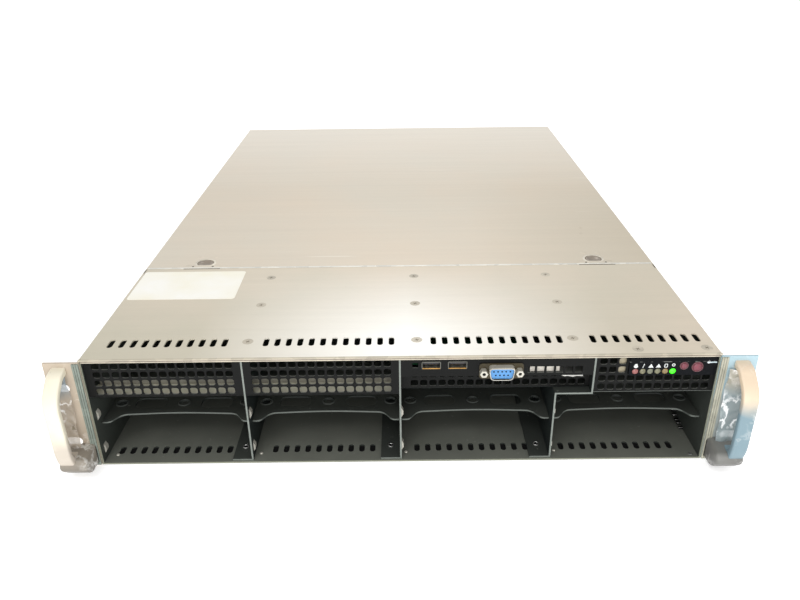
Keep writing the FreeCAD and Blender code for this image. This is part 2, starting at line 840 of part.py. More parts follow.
def rear_cover():
    """The sliding rear cover: a top sheet with its edges, two tongues and two leaf springs under it."""
    cover = Body("rear_cover_sheet")
    top = rectangle(("-half", "half"), ("rear_seam", "rear_edge"))
    cover.pad("top", cover.sketch("XY_Plane", [top], at="roof"), "cover_sheet")
    bore = "release_radius + release_gap"
    holes = [(f"{side} release_from_middle", "release_y", bore) for side in "-+"]
    cover.pocket("release_holes", cover.sketch("XY_Plane", circles=holes))
    parts = [cover.body]
    down = ("chassis_height - cover_flange", "roof")
    parts.append(box("rear_flange_left", ("-half", "-half + cover_sheet"), ("rear_seam", "rear_edge"), down))
    parts.append(box("rear_flange_right", ("half - cover_sheet", "half"), ("rear_seam", "rear_edge"), down))
    across = ("-half + cover_sheet", "half - cover_sheet")
    down = ("chassis_height - rear_lip", "roof")
    parts.append(box("rear_cover_lip", across, ("chassis_depth + cover_gap", "rear_edge"), down))
    for side, sign in (("left", "-"), ("right", "")):
        middle = f"{sign}release_from_middle"
        across = (f"{middle} - tongue_width / 2", f"{middle} + tongue_width / 2")
        reach, root = "front_seam - tongue_length", "rear_seam + tongue_root"
        under = ("wall_top - cover_sheet", "wall_top")
        blade = box(f"tongue_blade_{side}", across, (reach, root), under)
        stem = box(f"tongue_root_{side}", across, ("rear_seam", root), ("wall_top", "roof"))
        parts.append(fuse(f"tongue_{side}", [blade, stem]))
        across = (f"{middle} - leaf_width / 2", f"{middle} + leaf_width / 2")
        tail = "release_y + leaf_length"
        run = ("release_y - release_radius", tail)
        strip = box(f"leaf_strip_{side}", across, run, ("leaf_bottom", "leaf_stop"))
        riser = box(f"leaf_riser_{side}", across, (f"{tail} - leaf_sheet", tail), ("leaf_stop", "roof"))
        parts.append(fuse(f"leaf_{side}", [strip, riser]))
    hand_over("rear_cover", group("rear_cover", parts))


def release_button(side, sign):
    """A release button of the rear cover: a cap with a collar under the sheet and a stem."""
    x = f"{sign}release_from_middle"
    collar_bottom = "wall_top - release_collar_height"
    start = (x, "release_y", "wall_top")
    cap = rod(f"release_cap_{side}", "Z", "release_radius", start, "chassis_height - wall_top")
    collar = rod(
        f"release_collar_{side}",
        "Z",
        "release_radius + release_collar",
        (x, "release_y", collar_bottom),
        "release_collar_height",
    )
    start = (x, "release_y", f"{collar_bottom} - release_stem")
    stem = prism(f"release_stem_{side}", "Z", "release_stem", start, "release_stem")
    name = f"cover_release_button_{side}"
    hand_over(name, fuse(name, [cap, collar, stem]))


# --- the drive cage -----------------------------------------------------------------------------


def foot_screws():
    """Where the dividers are screwed to the floor, as (x, y)."""
    middles = [f"{COLUMNS[rank]} - web - divider_foot / 2" for rank in ("second", "third", "fourth")]
    front, back = "floor_vent_from_front + foot_screw_behind_vents", "cage_depth - foot_screw_from_back"
    return [(x, y) for x in middles for y in (front, back)]


def divider(name, x, profile):
    """One wall of the cage: a folded sheet with its foot on the floor and its flange at the roof."""
    wall = Body(f"{name}_sheet")
    drawn = wall.sketch("XZ_Plane", [profile], at="-panel_front")
    wall.pad("web", drawn, "cage_depth - panel_front", backwards=True)
    thick = ("tray_sheet", "tray_sheet + divider_sheet")
    foot = rectangle((f"{x} - web - divider_foot", f"{x} - web"), thick)
    drawn = wall.sketch("XZ_Plane", [foot], at="-panel_front")
    wall.pad("foot", drawn, "cage_depth - panel_front", backwards=True)
    return wall


def dividers():
    """Three dividers. The right one steps out over the bays, to make room for the port tray."""
    flange = ("wall_top - divider_sheet", "wall_top")
    length = "cage_depth - flange_front"
    straight = {
        "left": ("-column", "-column - divider_flange / 2", "-column + divider_flange / 2"),
        "middle": ("0", "-web", "divider_flange"),
    }
    for name, (x, left, right) in straight.items():
        profile = rectangle((f"{x} - web", f"{x} + web"), ("tray_sheet", "wall_top"))
        wall = divider(f"divider_{name}", x, profile)
        top = wall.sketch("XZ_Plane", [rectangle((left, right), flange)], at="-flange_front")
        wall.pad("flange", top, length, backwards=True)
        finish_divider(f"divider_{name}", wall)
    profile = [
        ("column - web", "tray_sheet"),
        ("column + web", "tray_sheet"),
        ("column + web", "bay_roof - divider_sheet"),
        ("jog + web", "bay_roof - divider_sheet"),
        ("jog + web", "wall_top"),
        ("jog - web", "wall_top"),
        ("jog - web", "bay_roof"),
        ("column - web", "bay_roof"),
    ]
    wall = divider("divider_right", "column", profile)
    top = rectangle(("jog - web - divider_flange", "jog - web"), flange)
    wall.pad("flange", wall.sketch("XZ_Plane", [top], at="-flange_front"), length, backwards=True)
    finish_divider("divider_right", wall)


def finish_divider(name, wall):
    """Drill a divider for the cover screws and the floor screws."""
    tools = flange_holes(name)
    for number, (x, y) in enumerate(foot_screws(), 1):
        start = (x, y, "tray_sheet")
        radius = "screw_radius + screw_gap"
        tools.append(prism(f"{name}_foot_{number}", "Z", radius, start, "divider_sheet"))
    hand_over(name, cut(name, wall.body, tools))


def divider_screws():
    """Headed weld studs on the floor that hold the dividers' feet."""
    screws = []
    for number, (x, y) in enumerate(foot_screws(), 1):
        shank = prism(f"foot_shank_{number}", "Z", "screw_radius", (x, y, "tray_sheet"), "divider_sheet")
        start = (x, y, "tray_sheet + divider_sheet")
        head = prism(f"foot_head_{number}", "Z", "rivet_head_radius", start, "rivet_head_height")
        screws.append(fuse(f"foot_screw_{number}", [shank, head]))
    hand_over("divider_screws", group("divider_screws", screws))


def drive_shelves():
    """Four shelves, one between each pair of walls, with scalloped fronts, holes and windows."""
    shelves = []
    for number, (rank, edge) in enumerate(COLUMNS.items(), 1):
        low = edge if rank == "first" else f"{edge} + web"
        high = f"{edge} + column" if rank == "fourth" else f"{edge} + column - web"
        middle = f"({low} + {high}) / 2"
        shelf = Body(f"drive_shelf_{number}")
        outline = [
            (low, "horn_setback"),
            (f"{low} + horn_width", "horn_setback"),
            (f"{low} + horn_width", "shelf_setback"),
            (f"{high} - horn_width", "shelf_setback"),
            (f"{high} - horn_width", "horn_setback"),
            (high, "horn_setback"),
            (high, "cage_depth"),
            (low, "cage_depth"),
        ]
        shelf.pad("plate", shelf.sketch("XY_Plane", [outline], at="shelf_top - shelf_sheet"), "shelf_sheet")
        inner = (value(f"{low} + horn_width"), value(f"{high} - horn_width"))
        shelf.fillet(
            "scallops",
            "scallop_radius",
            lambda edge: along(edge, Z_AXIS) and min(abs(edge.Vertexes[0].X - x) for x in inner) < 0.01,
        )
        place = "shelf_hole_from_front"
        first = f"{middle} - (shelf_hole_count - 1) / 2 * shelf_hole_pitch"
        hole = [(first, place, "shelf_hole_radius")]
        drilled = shelf.pocket("hole", shelf.sketch("XY_Plane", circles=hole))
        shelf.rows("holes", drilled, "shelf_hole_count", "shelf_hole_pitch")
        first = f"{middle} - (shelf_window_count - 1) / 2 * shelf_window_pitch"
        size = ("shelf_window_length", "shelf_window_width", "shelf_window_corner")
        opened = shelf.pocket("window", shelf.sketch("XY_Plane", [slot_outline(first, place, *size)]))
        shelf.rows("windows", opened, "shelf_window_count", "shelf_window_pitch")
        shelves.append(shelf.body)
    hand_over("drive_shelves", group("drive_shelves", shelves))


def bay_springs():
    """Pressed spring lugs on the left side of each bay, which steady a drive carrier."""
    lugs = []
    for rank, edge in COLUMNS.items():
        face = edge if rank == "first" else f"{edge} + web"
        for level, floor in (("lower", "tray_sheet"), ("upper", "shelf_top")):
            lug = Body(f"lug_{rank}_{level}")
            middle = f"{floor} + lug_above_floor"
            profile = [
                (face, f"{middle} - lug_length / 2"),
                (f"{face} + lug_rise", f"{middle} - lug_length / 6"),
                (f"{face} + lug_rise", f"{middle} + lug_length / 6"),
                (face, f"{middle} + lug_length / 2"),
            ]
            drawn = lug.sketch("XZ_Plane", [profile], at="-(lug_from_front - lug_width / 2)")
            lug.pad("bow", drawn, "lug_width", backwards=True)
            lugs.append(lug.body)
    hand_over("bay_springs", group("bay_springs", lugs))


def grille(name, low, high, setback, rows, first, columns, top="wall_top"):
    """A perforated panel with a return along its foot, over the bay roof."""
    panel = Body(name)
    front = f"-(panel_front + {setback})"
    plate = rectangle((low, high), ("bay_roof", top))
    panel.pad("plate", panel.sketch("XZ_Plane", [plate], at=front), "grille_sheet", backwards=True)
    fold = rectangle((low, high), ("bay_roof", "bay_roof + grille_sheet"))
    panel.pad("fold", panel.sketch("XZ_Plane", [fold], at=front), "grille_return", backwards=True)
    middle = "bay_roof + grille_first_row"
    hole = rectangle(
        (f"{first} - grille_hole / 2", f"{first} + grille_hole / 2"),
        (f"{middle} - grille_hole / 2", f"{middle} + grille_hole / 2"),
    )
    punched = panel.pocket("hole", panel.sketch("XZ_Plane", [hole], at=front))
    panel.rows("holes", punched, columns, "grille_pitch", rows, "grille_row_pitch")
    return panel


def grilles():
    """The perforated panels over the bays."""
    half_span = "(grille_columns - 1) * grille_pitch / 2"
    spans = {"left": ("-wall_in", "-column - web"), "middle": ("-column + web", "-web")}
    for name, (low, high) in spans.items():
        first = f"({low} + {high}) / 2 - {half_span}"
        panel = grille(f"grille_{name}", low, high, "0", "grille_rows", first, "grille_columns")
        hand_over(f"grille_{name}", panel.body)
    low, high = "web", "jog - web"
    ceiling = "port_tray_floor - grille_sheet"
    holes = ("recess_rows", "recess_first", "recess_columns")
    panel = grille("grille_centre", low, high, "recess_setback", *holes, ceiling)
    hand_over("grille_centre", panel.body)
    low, high = "jog + web", "wall_in"
    first = f"{low} + side_grille_first"
    panel = grille("grille_right_sheet", low, high, "0", "recess_rows", first, "side_grille_columns")
    window = rectangle(
        ("block_left - port_gap", "block_right + port_gap"),
        ("block_bottom - port_gap", "block_top + port_gap"),
    )
    panel.pocket("window", panel.sketch("XZ_Plane", [window], at="-panel_front"))
    side = rectangle(
        (f"{first} - grille_hole / 2", f"{first} + grille_hole / 2"),
        ("side_vent_middle - grille_hole / 2", "side_vent_middle + grille_hole / 2"),
    )
    punched = panel.pocket("side_hole", panel.sketch("XZ_Plane", [side], at="-panel_front"))
    across, up = ("side_vent_columns", "grille_pitch"), ("side_vent_rows", "grille_row_pitch")
    panel.rows("side_holes", punched, *across, *up)
    deep = ("panel_back", "panel_front + grille_return")
    strip = box("grille_right_strip", (low, high), deep, ("wall_top - grille_sheet", "wall_top"))
    strip = cut("grille_right_rail", strip, flange_holes("grille_right"))
    hand_over("grille_right", group("grille_right", [panel.body, strip]))


# --- the port tray ------------------------------------------------------------------------------


def port_tray():
    """The panel and floor that carry the front ports."""
    tray = Body("io_tray_sheet")
    low, high = "web", "jog - web"
    plate = rectangle((low, high), ("port_tray_floor", "wall_top"))
    front = "-panel_front"
    tray.pad("plate", tray.sketch("XZ_Plane", [plate], at=front), "grille_sheet", backwards=True)
    floor = rectangle((low, high), ("port_tray_floor", "port_tray_floor + grille_sheet"))
    tray.pad("floor", tray.sketch("XZ_Plane", [floor], at=front), "port_tray_depth", backwards=True)
    windows = [
        rectangle(
            (f"{x} - usb_width / 2 - port_gap", f"{x} + usb_width / 2 + port_gap"),
            ("usb_middle - usb_height / 2 - port_gap", "usb_middle + usb_height / 2 + port_gap"),
        )
        for x in usb_places()
    ]
    windows.append(d_outline("port_gap + serial_shell_wall"))
    across = ("small_window_first", "small_window_first + small_window_side")
    up = ("usb_middle - small_window_side / 2", "usb_middle + small_window_side / 2")
    windows.append(rectangle(across, up))
    drawn = tray.sketch("XZ_Plane", windows, at=front)
    tray.pocket("windows", drawn, depth="grille_sheet + serial_block_depth + port_gap")
    tray.pocket("jackscrew_holes", tray.sketch("XZ_Plane", circles=jackscrew_holes(), at=front))
    right_of_serial = "serial_place + serial_flange_width / 2 + tray_vent_past_flange"
    row = "port_tray_floor + tray_vent_rise"
    hole = rectangle(
        (f"{right_of_serial} - grille_hole / 2", f"{right_of_serial} + grille_hole / 2"),
        (f"{row} - grille_hole / 2", f"{row} + grille_hole / 2"),
    )
    punched = tray.pocket("vent", tray.sketch("XZ_Plane", [hole], at=front))
    tray.rows("vents", punched, "tray_vent_columns", "grille_pitch", "tray_vent_rows", "grille_row_pitch")
    posts = [tray.body]
    for number, (x, y) in enumerate(io_posts(), 1):
        start = (x, y, "port_tray_floor + grille_sheet")
        height = "io_board_top - board_thickness - port_tray_floor - grille_sheet"
        posts.append(prism(f"io_post_{number}", "Z", "standoff_radius", start, height, HEX))
    hand_over("io_tray_panel", fuse("io_tray_panel", posts))
    board = box(
        "front_io_board",
        ("io_board_first", "serial_place + serial_flange_width / 2"),
        ("io_board_front", "panel_front + port_tray_depth - io_board_from_back"),
        ("io_board_top - board_thickness", "io_board_top"),
    )
    hand_over("front_io_board", board)


def io_posts():
    """Where the port board stands on its posts."""
    rows = ("io_board_front + io_post_behind_board", "port_tray_depth - io_post_from_back")
    return [(x, y) for x in ("io_post_first", "serial_place") for y in rows]


def usb_places():
    """The middles of the two USB ports."""
    return ["usb_first", "usb_first + usb_pitch"]


def usb_ports():
    """Two metal shells, each with a tongue inside."""
    shells, tongues = [], []
    for number, x in enumerate(usb_places(), 1):
        deep = ("panel_front - port_gap", "panel_front + usb_depth")
        wide = (f"{x} - usb_width / 2", f"{x} + usb_width / 2")
        high = ("usb_middle - usb_height / 2", "usb_middle + usb_height / 2")
        outer = box(f"usb_outer_{number}", wide, deep, high)
        inner = box(
            f"usb_inner_{number}",
            (f"{wide[0]} + usb_shell", f"{wide[1]} - usb_shell"),
            ("panel_front - port_gap", "panel_front + usb_depth - usb_back_wall"),
            (f"{high[0]} + usb_shell", f"{high[1]} - usb_shell"),
        )
        shells.append(cut(f"usb_shell_{number}", outer, [inner]))
        tongue = box(
            f"usb_tongue_{number}",
            (f"{x} - usb_width / 2 + 2 * usb_shell", f"{x} + usb_width / 2 - 2 * usb_shell"),
            ("panel_front + usb_tongue_setback", "panel_front + usb_depth - usb_back_wall"),
            ("usb_middle", "usb_middle + usb_tongue"),
        )
        tongues.append(tongue)
    hand_over("usb_port_shells", group("usb_port_shells", shells))
    hand_over("usb_port_tongues", group("usb_port_tongues", tongues))


def jackscrew_holes():
    """Clearance holes for the serial port's two jackscrews, as circles."""
    radius = "screw_radius + screw_gap"
    return [(f"serial_place {sign} jackscrew_spacing / 2", "serial_middle", radius) for sign in "-+"]


def d_outline(grow):
    """The D shape of the serial port, grown outwards by a margin."""
    wide = "serial_shell_width / 2 - serial_shell_wall"
    narrow = f"{wide} - serial_slant"
    tall = "serial_shell_height / 2 - serial_shell_wall"
    return [
        (f"serial_place - ({narrow}) - ({grow})", f"serial_middle - ({tall}) - ({grow})"),
        (f"serial_place + {narrow} + {grow}", f"serial_middle - ({tall}) - ({grow})"),
        (f"serial_place + {wide} + {grow}", f"serial_middle + {tall} + {grow}"),
        (f"serial_place - ({wide}) - ({grow})", f"serial_middle + {tall} + {grow}"),
    ]


def serial_port():
    """A D-shaped metal shell on its flange, a moulded insert with nine pins, and two jackscrews."""
    shell = Body("serial_port_shell")
    flange = rectangle(
        ("serial_place - serial_flange_width / 2", "serial_place + serial_flange_width / 2"),
        ("serial_middle - serial_flange_height / 2", "serial_middle + serial_flange_height / 2"),
    )
    front = "-(panel_front - serial_flange_sheet)"
    shell.pad("flange", shell.sketch("XZ_Plane", [flange], at=front), "serial_flange_sheet", backwards=True)
    proud = shell.sketch("XZ_Plane", [d_outline("serial_shell_wall")], at=front)
    shell.pad("rim", proud, "serial_shell_proud")
    shell.pocket("mouth", shell.sketch("XZ_Plane", [d_outline("0")]))
    shell.pocket("jackscrew_holes", shell.sketch("XZ_Plane", circles=jackscrew_holes()))
    hand_over("serial_port_shell", shell.body)
    insert = Body("serial_insert_block")
    face = "-(panel_front - serial_flange_sheet - serial_insert_proud)"
    depth = "serial_flange_sheet + serial_insert_proud + grille_sheet + serial_block_depth"
    outline = d_outline("-serial_insert_gap")
    insert.pad("block", insert.sketch("XZ_Plane", [outline], at=face), depth, backwards=True)
    parts = [insert.body]
    for row, count, sign in (("low", 4, "-"), ("high", 5, "+")):
        z = f"serial_middle {sign} serial_row_rise"
        for number in range(count):
            x = f"serial_place + ({number} - {(count - 1) / 2}) * serial_pin_pitch"
            start = (x, "panel_front - serial_flange_sheet - serial_pin_proud", z)
            name = f"pin_{row}_{number + 1}"
            parts.append(prism(name, "Y", "serial_pin_radius", start, "serial_pin_proud", HEX))
    hand_over("serial_port_insert", fuse("serial_port_insert", parts))
    screws = []
    for number, sign in enumerate("-+", 1):
        x = f"serial_place {sign} jackscrew_spacing / 2"
        start = (x, "panel_front - serial_flange_sheet - jackscrew_proud", "serial_middle")
        nut = prism(f"jackscrew_nut_{number}", "Y", "jackscrew_radius", start, "jackscrew_proud", HEX)
        start = (x, "panel_front - serial_flange_sheet - jackscrew_bite", "serial_middle")
        length = "serial_flange_sheet + jackscrew_bite + grille_sheet + jackscrew_tail"
        shank = prism(f"jackscrew_shank_{number}", "Y", "screw_radius", start, length)
        screws.append(fuse(f"jackscrew_{number}", [nut, shank]))
    hand_over("serial_port_jackscrews", group("serial_port_jackscrews", screws))


# --- the control panel --------------------------------------------------------------------------

BUTTONS = {
    name: (
        f"block_left + {name}_button_place",
        f"block_bottom + {name}_button_above",
        f"{name}_button_radius",
    )
    for name in ("power", "reset")
}


def led_places():
    """The middles of the indicator lenses."""
    first = "block_left + led_first"
    return [f"{first} + {number} * led_pitch" for number in range(int(SIZES["led_count"]))]


def control_panel():
    """The moulded block, its lenses, the two buttons, and the switch board behind."""
    across, up = ("block_left", "block_right"), ("block_bottom", "block_top")
    block = box("panel_block", across, ("block_front", "block_back"), up)
    tools, lenses = [], []
    level = "block_bottom + led_above_block"
    for number, x in enumerate(led_places(), 1):
        start = (x, "block_front", level)
        tools.append(rod(f"lens_hole_{number}", "Y", "led_radius", start, "panel_block_depth"))
        length = "panel_board_front - block_front"
        lenses.append(rod(f"led_lens_{number}", "Y", "led_radius - lens_gap", start, length))
    thick = ("panel_board_front", "panel_board_front + board_thickness")
    board_parts = [box("panel_board", across, thick, up)]
    for name, (x, z, radius) in BUTTONS.items():
        bore = f"{radius} + button_gap"
        tools.append(rod(f"{name}_bore", "Y", bore, (x, "block_front", z), "panel_block_depth"))
        start = (x, "block_front - button_proud", z)
        length = "button_proud + panel_block_depth + button_stop_gap"
        cap = rod(f"{name}_cap", "Y", radius, start, length)
        start = (x, "block_back + button_stop_gap", z)
        collar = rod(f"{name}_collar", "Y", f"{radius} + button_collar", start, "button_collar_length")
        label = f"{name}_button"
        hand_over(label, fuse(label, [cap, collar]))
        wide = (f"{x} - switch_side / 2", f"{x} + switch_side / 2")
        high = (f"{z} - switch_side / 2", f"{z} + switch_side / 2")
        board_parts.append(box(f"{name}_switch", wide, ("switch_front", "panel_board_front"), high))
    hand_over("control_panel_housing", cut("control_panel_housing", block, tools))
    hand_over("led_lenses", group("led_lenses", lenses))
    hand_over("control_panel_board", fuse("control_panel_board", board_parts))


# --- ears and handles ---------------------------------------------------------------------------


def handle_screws_at():
    """The heights of the two screws through each ear into its handle."""
    return ["handle_top - handle_strap / 2", "(handle_foot_bottom + handle_foot_top) / 2"]


def ears():
    """Rack ears: a slotted plate in front and a leg along the side wall."""
    ear = Body("right_ear_sheet")
    plate = rectangle(("wall_out", "ear_edge"), ("ear_bottom", "ear_top"))
    ear.pad("plate", ear.sketch("XZ_Plane", [plate]), "ear_sheet")
    leg = rectangle(
        ("wall_out", "wall_out + ear_sheet"), ("ear_bottom", "chassis_height - cover_flange - cover_gap")
    )
    ear.pad("leg", ear.sketch("XZ_Plane", [leg]), "ear_leg", backwards=True)
    tools = []
    for number, sign in enumerate("-+", 1):
        height = f"rack_holes_middle {sign} rack_hole_rise / 2"
        reach = "rack_slot_length / 2 - rack_hole_radius"
        wide = (f"rack_hole - ({reach})", f"rack_hole + {reach}")
        high = (f"{height} - rack_hole_radius", f"{height} + rack_hole_radius")
        slot = [box(f"slot_run_{number}", wide, ("-ear_sheet", "0"), high)]
        for side, x in zip(("low", "high"), wide):
            start = (x, "-ear_sheet", height)
            slot.append(rod(f"slot_end_{number}_{side}", "Y", "rack_hole_radius", start, "ear_sheet"))
        tools.append(fuse(f"rack_slot_{number}", slot))
    for number, height in enumerate(handle_screws_at(), 1):
        start = ("handle_middle", "-ear_sheet", height)
        radius = "handle_screw_radius + screw_gap"
        tools.append(prism(f"ear_hole_{number}", "Y", radius, start, "ear_sheet"))
    right = cut("right_ear_plate", ear.body, tools)
    hand_over("right_ear", right)
    hand_over("left_ear", mirror("left_ear", right))


def handles():
    """Pull handles: a flat strap bowed out from the top of the ear, with a thick foot."""
    handle = Body("right_handle_strap")
    ear_face = "-ear_sheet"
    outline = [
        (ear_face, "handle_top"),
        ("-handle_reach + handle_lean", "handle_top"),
        ("-handle_reach", "handle_belly"),
        ("-handle_chin_reach", "handle_chin"),
        (ear_face, "handle_foot_bottom"),
        (ear_face, "handle_foot_top"),
        ("-handle_chin_reach + handle_strap", "handle_chin + handle_chin_growth * handle_strap"),
        ("-handle_reach + handle_strap", "handle_belly"),
        ("-handle_reach + handle_lean + handle_strap", "handle_top - handle_strap"),
        (ear_face, "handle_top - handle_strap"),
    ]
    side = "handle_middle - handle_width / 2"
    handle.pad("strap", handle.sketch("YZ_Plane", [outline], at=side), "handle_width")

    def corner(*spots):
        """A test for the edges across the strap that stand on given corners of the outline."""
        places = [(value(outline[spot][0]), value(outline[spot][1])) for spot in spots]

        def wanted(edge):
            point = edge.Vertexes[0].Point
            near = min(math.hypot(point.y - y, point.z - z) for y, z in places)
            return along(edge, X_AXIS) and near < 0.01

        return wanted

    handle.fillet("shoulder", "handle_shoulder_radius", corner(1))
    handle.fillet("inner_shoulder", "handle_shoulder_radius - handle_strap", corner(8))
    handle.fillet("belly", "handle_belly_radius", corner(2))
    handle.fillet("inner_belly", "handle_belly_radius - handle_strap", corner(7))
    handle.fillet("chin", "handle_chin_radius", corner(3, 6))
    tools = []
    for number, height in enumerate(handle_screws_at(), 1):
        start = ("handle_middle", "-ear_sheet - handle_screw_depth", height)
        radius = "handle_screw_radius + screw_gap"
        tools.append(prism(f"handle_hole_{number}", "Y", radius, start, "handle_screw_depth"))
    right = cut("right_handle_bored", handle.body, tools)
    hand_over("right_handle", right)
    hand_over("left_handle", mirror("left_handle", right))
    screws = []
    for side, sign in (("left", "-"), ("right", "")):
        for number, height in enumerate(handle_screws_at(), 1):
            x = f"{sign}handle_middle"
            start = (x, "-ear_sheet - handle_screw_depth", height)
            length = "ear_sheet + handle_screw_depth"
            shank = prism(f"handle_shank_{side}_{number}", "Y", "handle_screw_radius", start, length)
            seat = (x, "0", height)
            head = prism(f"handle_head_{side}_{number}", "Y", "rivet_head_radius", seat, "handle_screw_head")
            screws.append(fuse(f"handle_screw_{side}_{number}", [shank, head]))
    hand_over("handle_screws", group("handle_screws", screws))


def rail_studs():
    """Headed studs on the side walls, which the slide rails hook over."""
    studs = []
    for number in range(int(SIZES["stud_count"])):
        y = f"stud_first + {number} * stud_pitch"
        start = ("wall_out", y, "stud_height")
        neck = rod(f"stud_neck_{number}", "X", "stud_radius", start, "stud_length")
        start = ("wall_out + stud_length", y, "stud_height")
        head = rod(f"stud_head_{number}", "X", "stud_head_radius", start, "stud_head_length")
        right = fuse(f"stud_right_{number}", [neck, head])
        studs += [right, mirror(f"stud_left_{number}", right)]
    hand_over("rail_studs", group("rail_studs", studs))


# --- backplane and fans -------------------------------------------------------------------------


def backplane():
    """The board behind the bays, with an air slot and a drive plug for each bay."""
    side = "wall_in - backplane_margin"
    board = box(
        "backplane_plate",
        (f"-({side})", side),
        ("backplane_front", "backplane_front + board_thickness"),
        ("tray_sheet + backplane_margin", "backplane_top"),
    )
    slots, plugs = [], []
    for rank, edge in COLUMNS.items():
        middle = f"{edge} + column / 2"
        for level, floor in (("lower", "tray_sheet"), ("upper", "shelf_top")):
            low = f"{floor} + drive_plug_above_floor"
            plug = box(
                f"drive_plug_{rank}_{level}",
                (f"{middle} - drive_plug_width / 2", f"{middle} + drive_plug_width / 2"),
                ("backplane_front - drive_plug_depth", "backplane_front"),
                (low, f"{low} + drive_plug_height"),
            )
            plugs.append(plug)
            low = f"{floor} + air_slot_above_floor"
            slot = box(
                f"air_slot_{rank}_{level}",
                (f"{middle} - air_slot_length / 2", f"{middle} + air_slot_length / 2"),
                ("backplane_front", "backplane_front + board_thickness"),
                (low, f"{low} + air_slot_height"),
            )
            slots.append(slot)
    hand_over("backplane_board", cut("backplane_board", board, slots))
    hand_over("drive_connectors", group("drive_connectors", plugs))


FANS = {
    "left": "main_board_middle - fan_pitch",
    "middle": "main_board_middle",
    "right": "main_board_middle + fan_pitch",
}


def fan_wall():
    """The bulkhead that carries the three fans, open at each fan and towards the power supplies."""
    wall = Body("fan_wall")
    front = "-fan_wall_from_front"
    plate = rectangle(("-wall_in", "wall_in"), ("tray_sheet", "wall_top - fan_wall_drop"))
    wall.pad("plate", wall.sketch("XZ_Plane", [plate], at=front), "tray_sheet", backwards=True)
    foot = rectangle(("-wall_in", "wall_in"), ("tray_sheet", "2 * tray_sheet"))
    wall.pad("foot", wall.sketch("XZ_Plane", [foot], at=front), "fan_wall_foot")
    rings = [(x, "fan_middle", "fan_bore_radius") for x in FANS.values()]
    passage = rectangle(
        ("psu_wall + passage_from_bay", "wall_in - passage_from_wall"),
        ("2 * tray_sheet + passage_above_foot", "wall_top - passage_below_top"),
    )
    wall.pocket("openings", wall.sketch("XZ_Plane", [passage], rings, at=front))
    hand_over("fan_wall", wall.body)


def fan_frames():
    """Square fan housings with a bore, four struts and a bearing boss at the rear."""
    frames = []
    boss = "shaft_radius + bearing_wall"
    for name, x in FANS.items():
        side = (f"{x} - fan_side / 2", f"{x} + fan_side / 2")
        height = ("fan_middle - fan_side / 2", "fan_middle + fan_side / 2")
        block = box(f"fan_block_{name}", side, ("fan_front", "fan_back"), height)
        bore = rod(f"fan_bore_{name}", "Y", "fan_bore_radius", (x, "fan_front", "fan_middle"), "fan_depth")
        parts = [cut(f"fan_duct_{name}", block, [bore])]
        back = ("fan_back - fan_strut", "fan_back")
        reach, strut = "(fan_bore_radius + strut_bite)", "fan_strut / 2"
        for way, wide, high in (("across", reach, strut), ("upright", strut, reach)):
            sides = (f"{x} - {wide}", f"{x} + {wide}")
            ends = (f"fan_middle - {high}", f"fan_middle + {high}")
            parts.append(box(f"strut_{name}_{way}", sides, back, ends))
        start = (x, "fan_back - bearing_length", "fan_middle")
        parts.append(prism(f"boss_{name}", "Y", boss, start, "bearing_length"))
        frame = fuse(f"fan_solid_{name}", parts)
        hole = rod(f"bearing_{name}", "Y", "shaft_radius + shaft_gap", start, "bearing_length")
        frames.append(cut(f"fan_frame_{name}", frame, [hole]))
    hand_over("fan_frames", group("fan_frames", frames))


BLADE_ROOT = 0.8  # how far out a blade starts, as a share of the hub's radius
BLADE_END = 1.1  # how long a blade is before the tips are turned, as a share of the tip radius


def impeller(hub_radius, hub_depth, tip_radius, count, shaft_radius, shaft_length):
    """A fan rotor about +Y, from its front face: a hub, pitched blades and a shaft behind."""
    forward = FreeCAD.Vector(0, 1, 0)
    hub = Part.makeCylinder(hub_radius, hub_depth, FreeCAD.Vector(), forward)
    shaft = Part.makeCylinder(shaft_radius, hub_depth + shaft_length, FreeCAD.Vector(), forward)
    pitch = math.radians(value("blade_pitch"))
    half_chord = value("blade_share") * hub_depth / 2 / math.cos(pitch)
    chord = FreeCAD.Vector(math.sin(pitch), math.cos(pitch), 0)
    across = FreeCAD.Vector(chord.y, -chord.x, 0) * (value("blade_thickness") / 2)
    root = FreeCAD.Vector(0, hub_depth / 2, BLADE_ROOT * hub_radius)
    ends = [root - chord * half_chord, root + chord * half_chord]
    corners = [ends[0] - across, ends[1] - across, ends[1] + across, ends[0] + across]
    section = Part.Face(Part.makePolygon(corners + corners[:1]))
    blade = section.extrude(FreeCAD.Vector(0, 0, BLADE_END * tip_radius))
    blades = []
    for number in range(count):
        copy = blade.copy()
        copy.rotate(FreeCAD.Vector(), forward, 360 * number / count)
        blades.append(copy)
    swept = Part.makeCylinder(tip_radius, 2 * hub_depth, FreeCAD.Vector(), forward)
    return hub.multiFuse([shaft] + blades).common(swept)


def fan_rotors():
    """Three impellers, each on its shaft in the frame's bearing."""
    depth = "fan_depth - bearing_length - rotor_gap - rotor_setback"
    for name, x in FANS.items():
        shape = impeller(
            value("fan_hub_radius"),
            value(depth),
            value("fan_bore_radius - fan_tip_gap"),
            int(SIZES["fan_blades"]),
            value("shaft_radius"),
            value("rotor_gap + bearing_length - shaft_end_gap"),
        )
        rotor = made(f"fan_rotor_{name}", shape, x, "fan_front + rotor_setback", "fan_middle")
        hand_over(f"fan_rotor_{name}", rotor)


# --- main board ---------------------------------------------------------------------------------


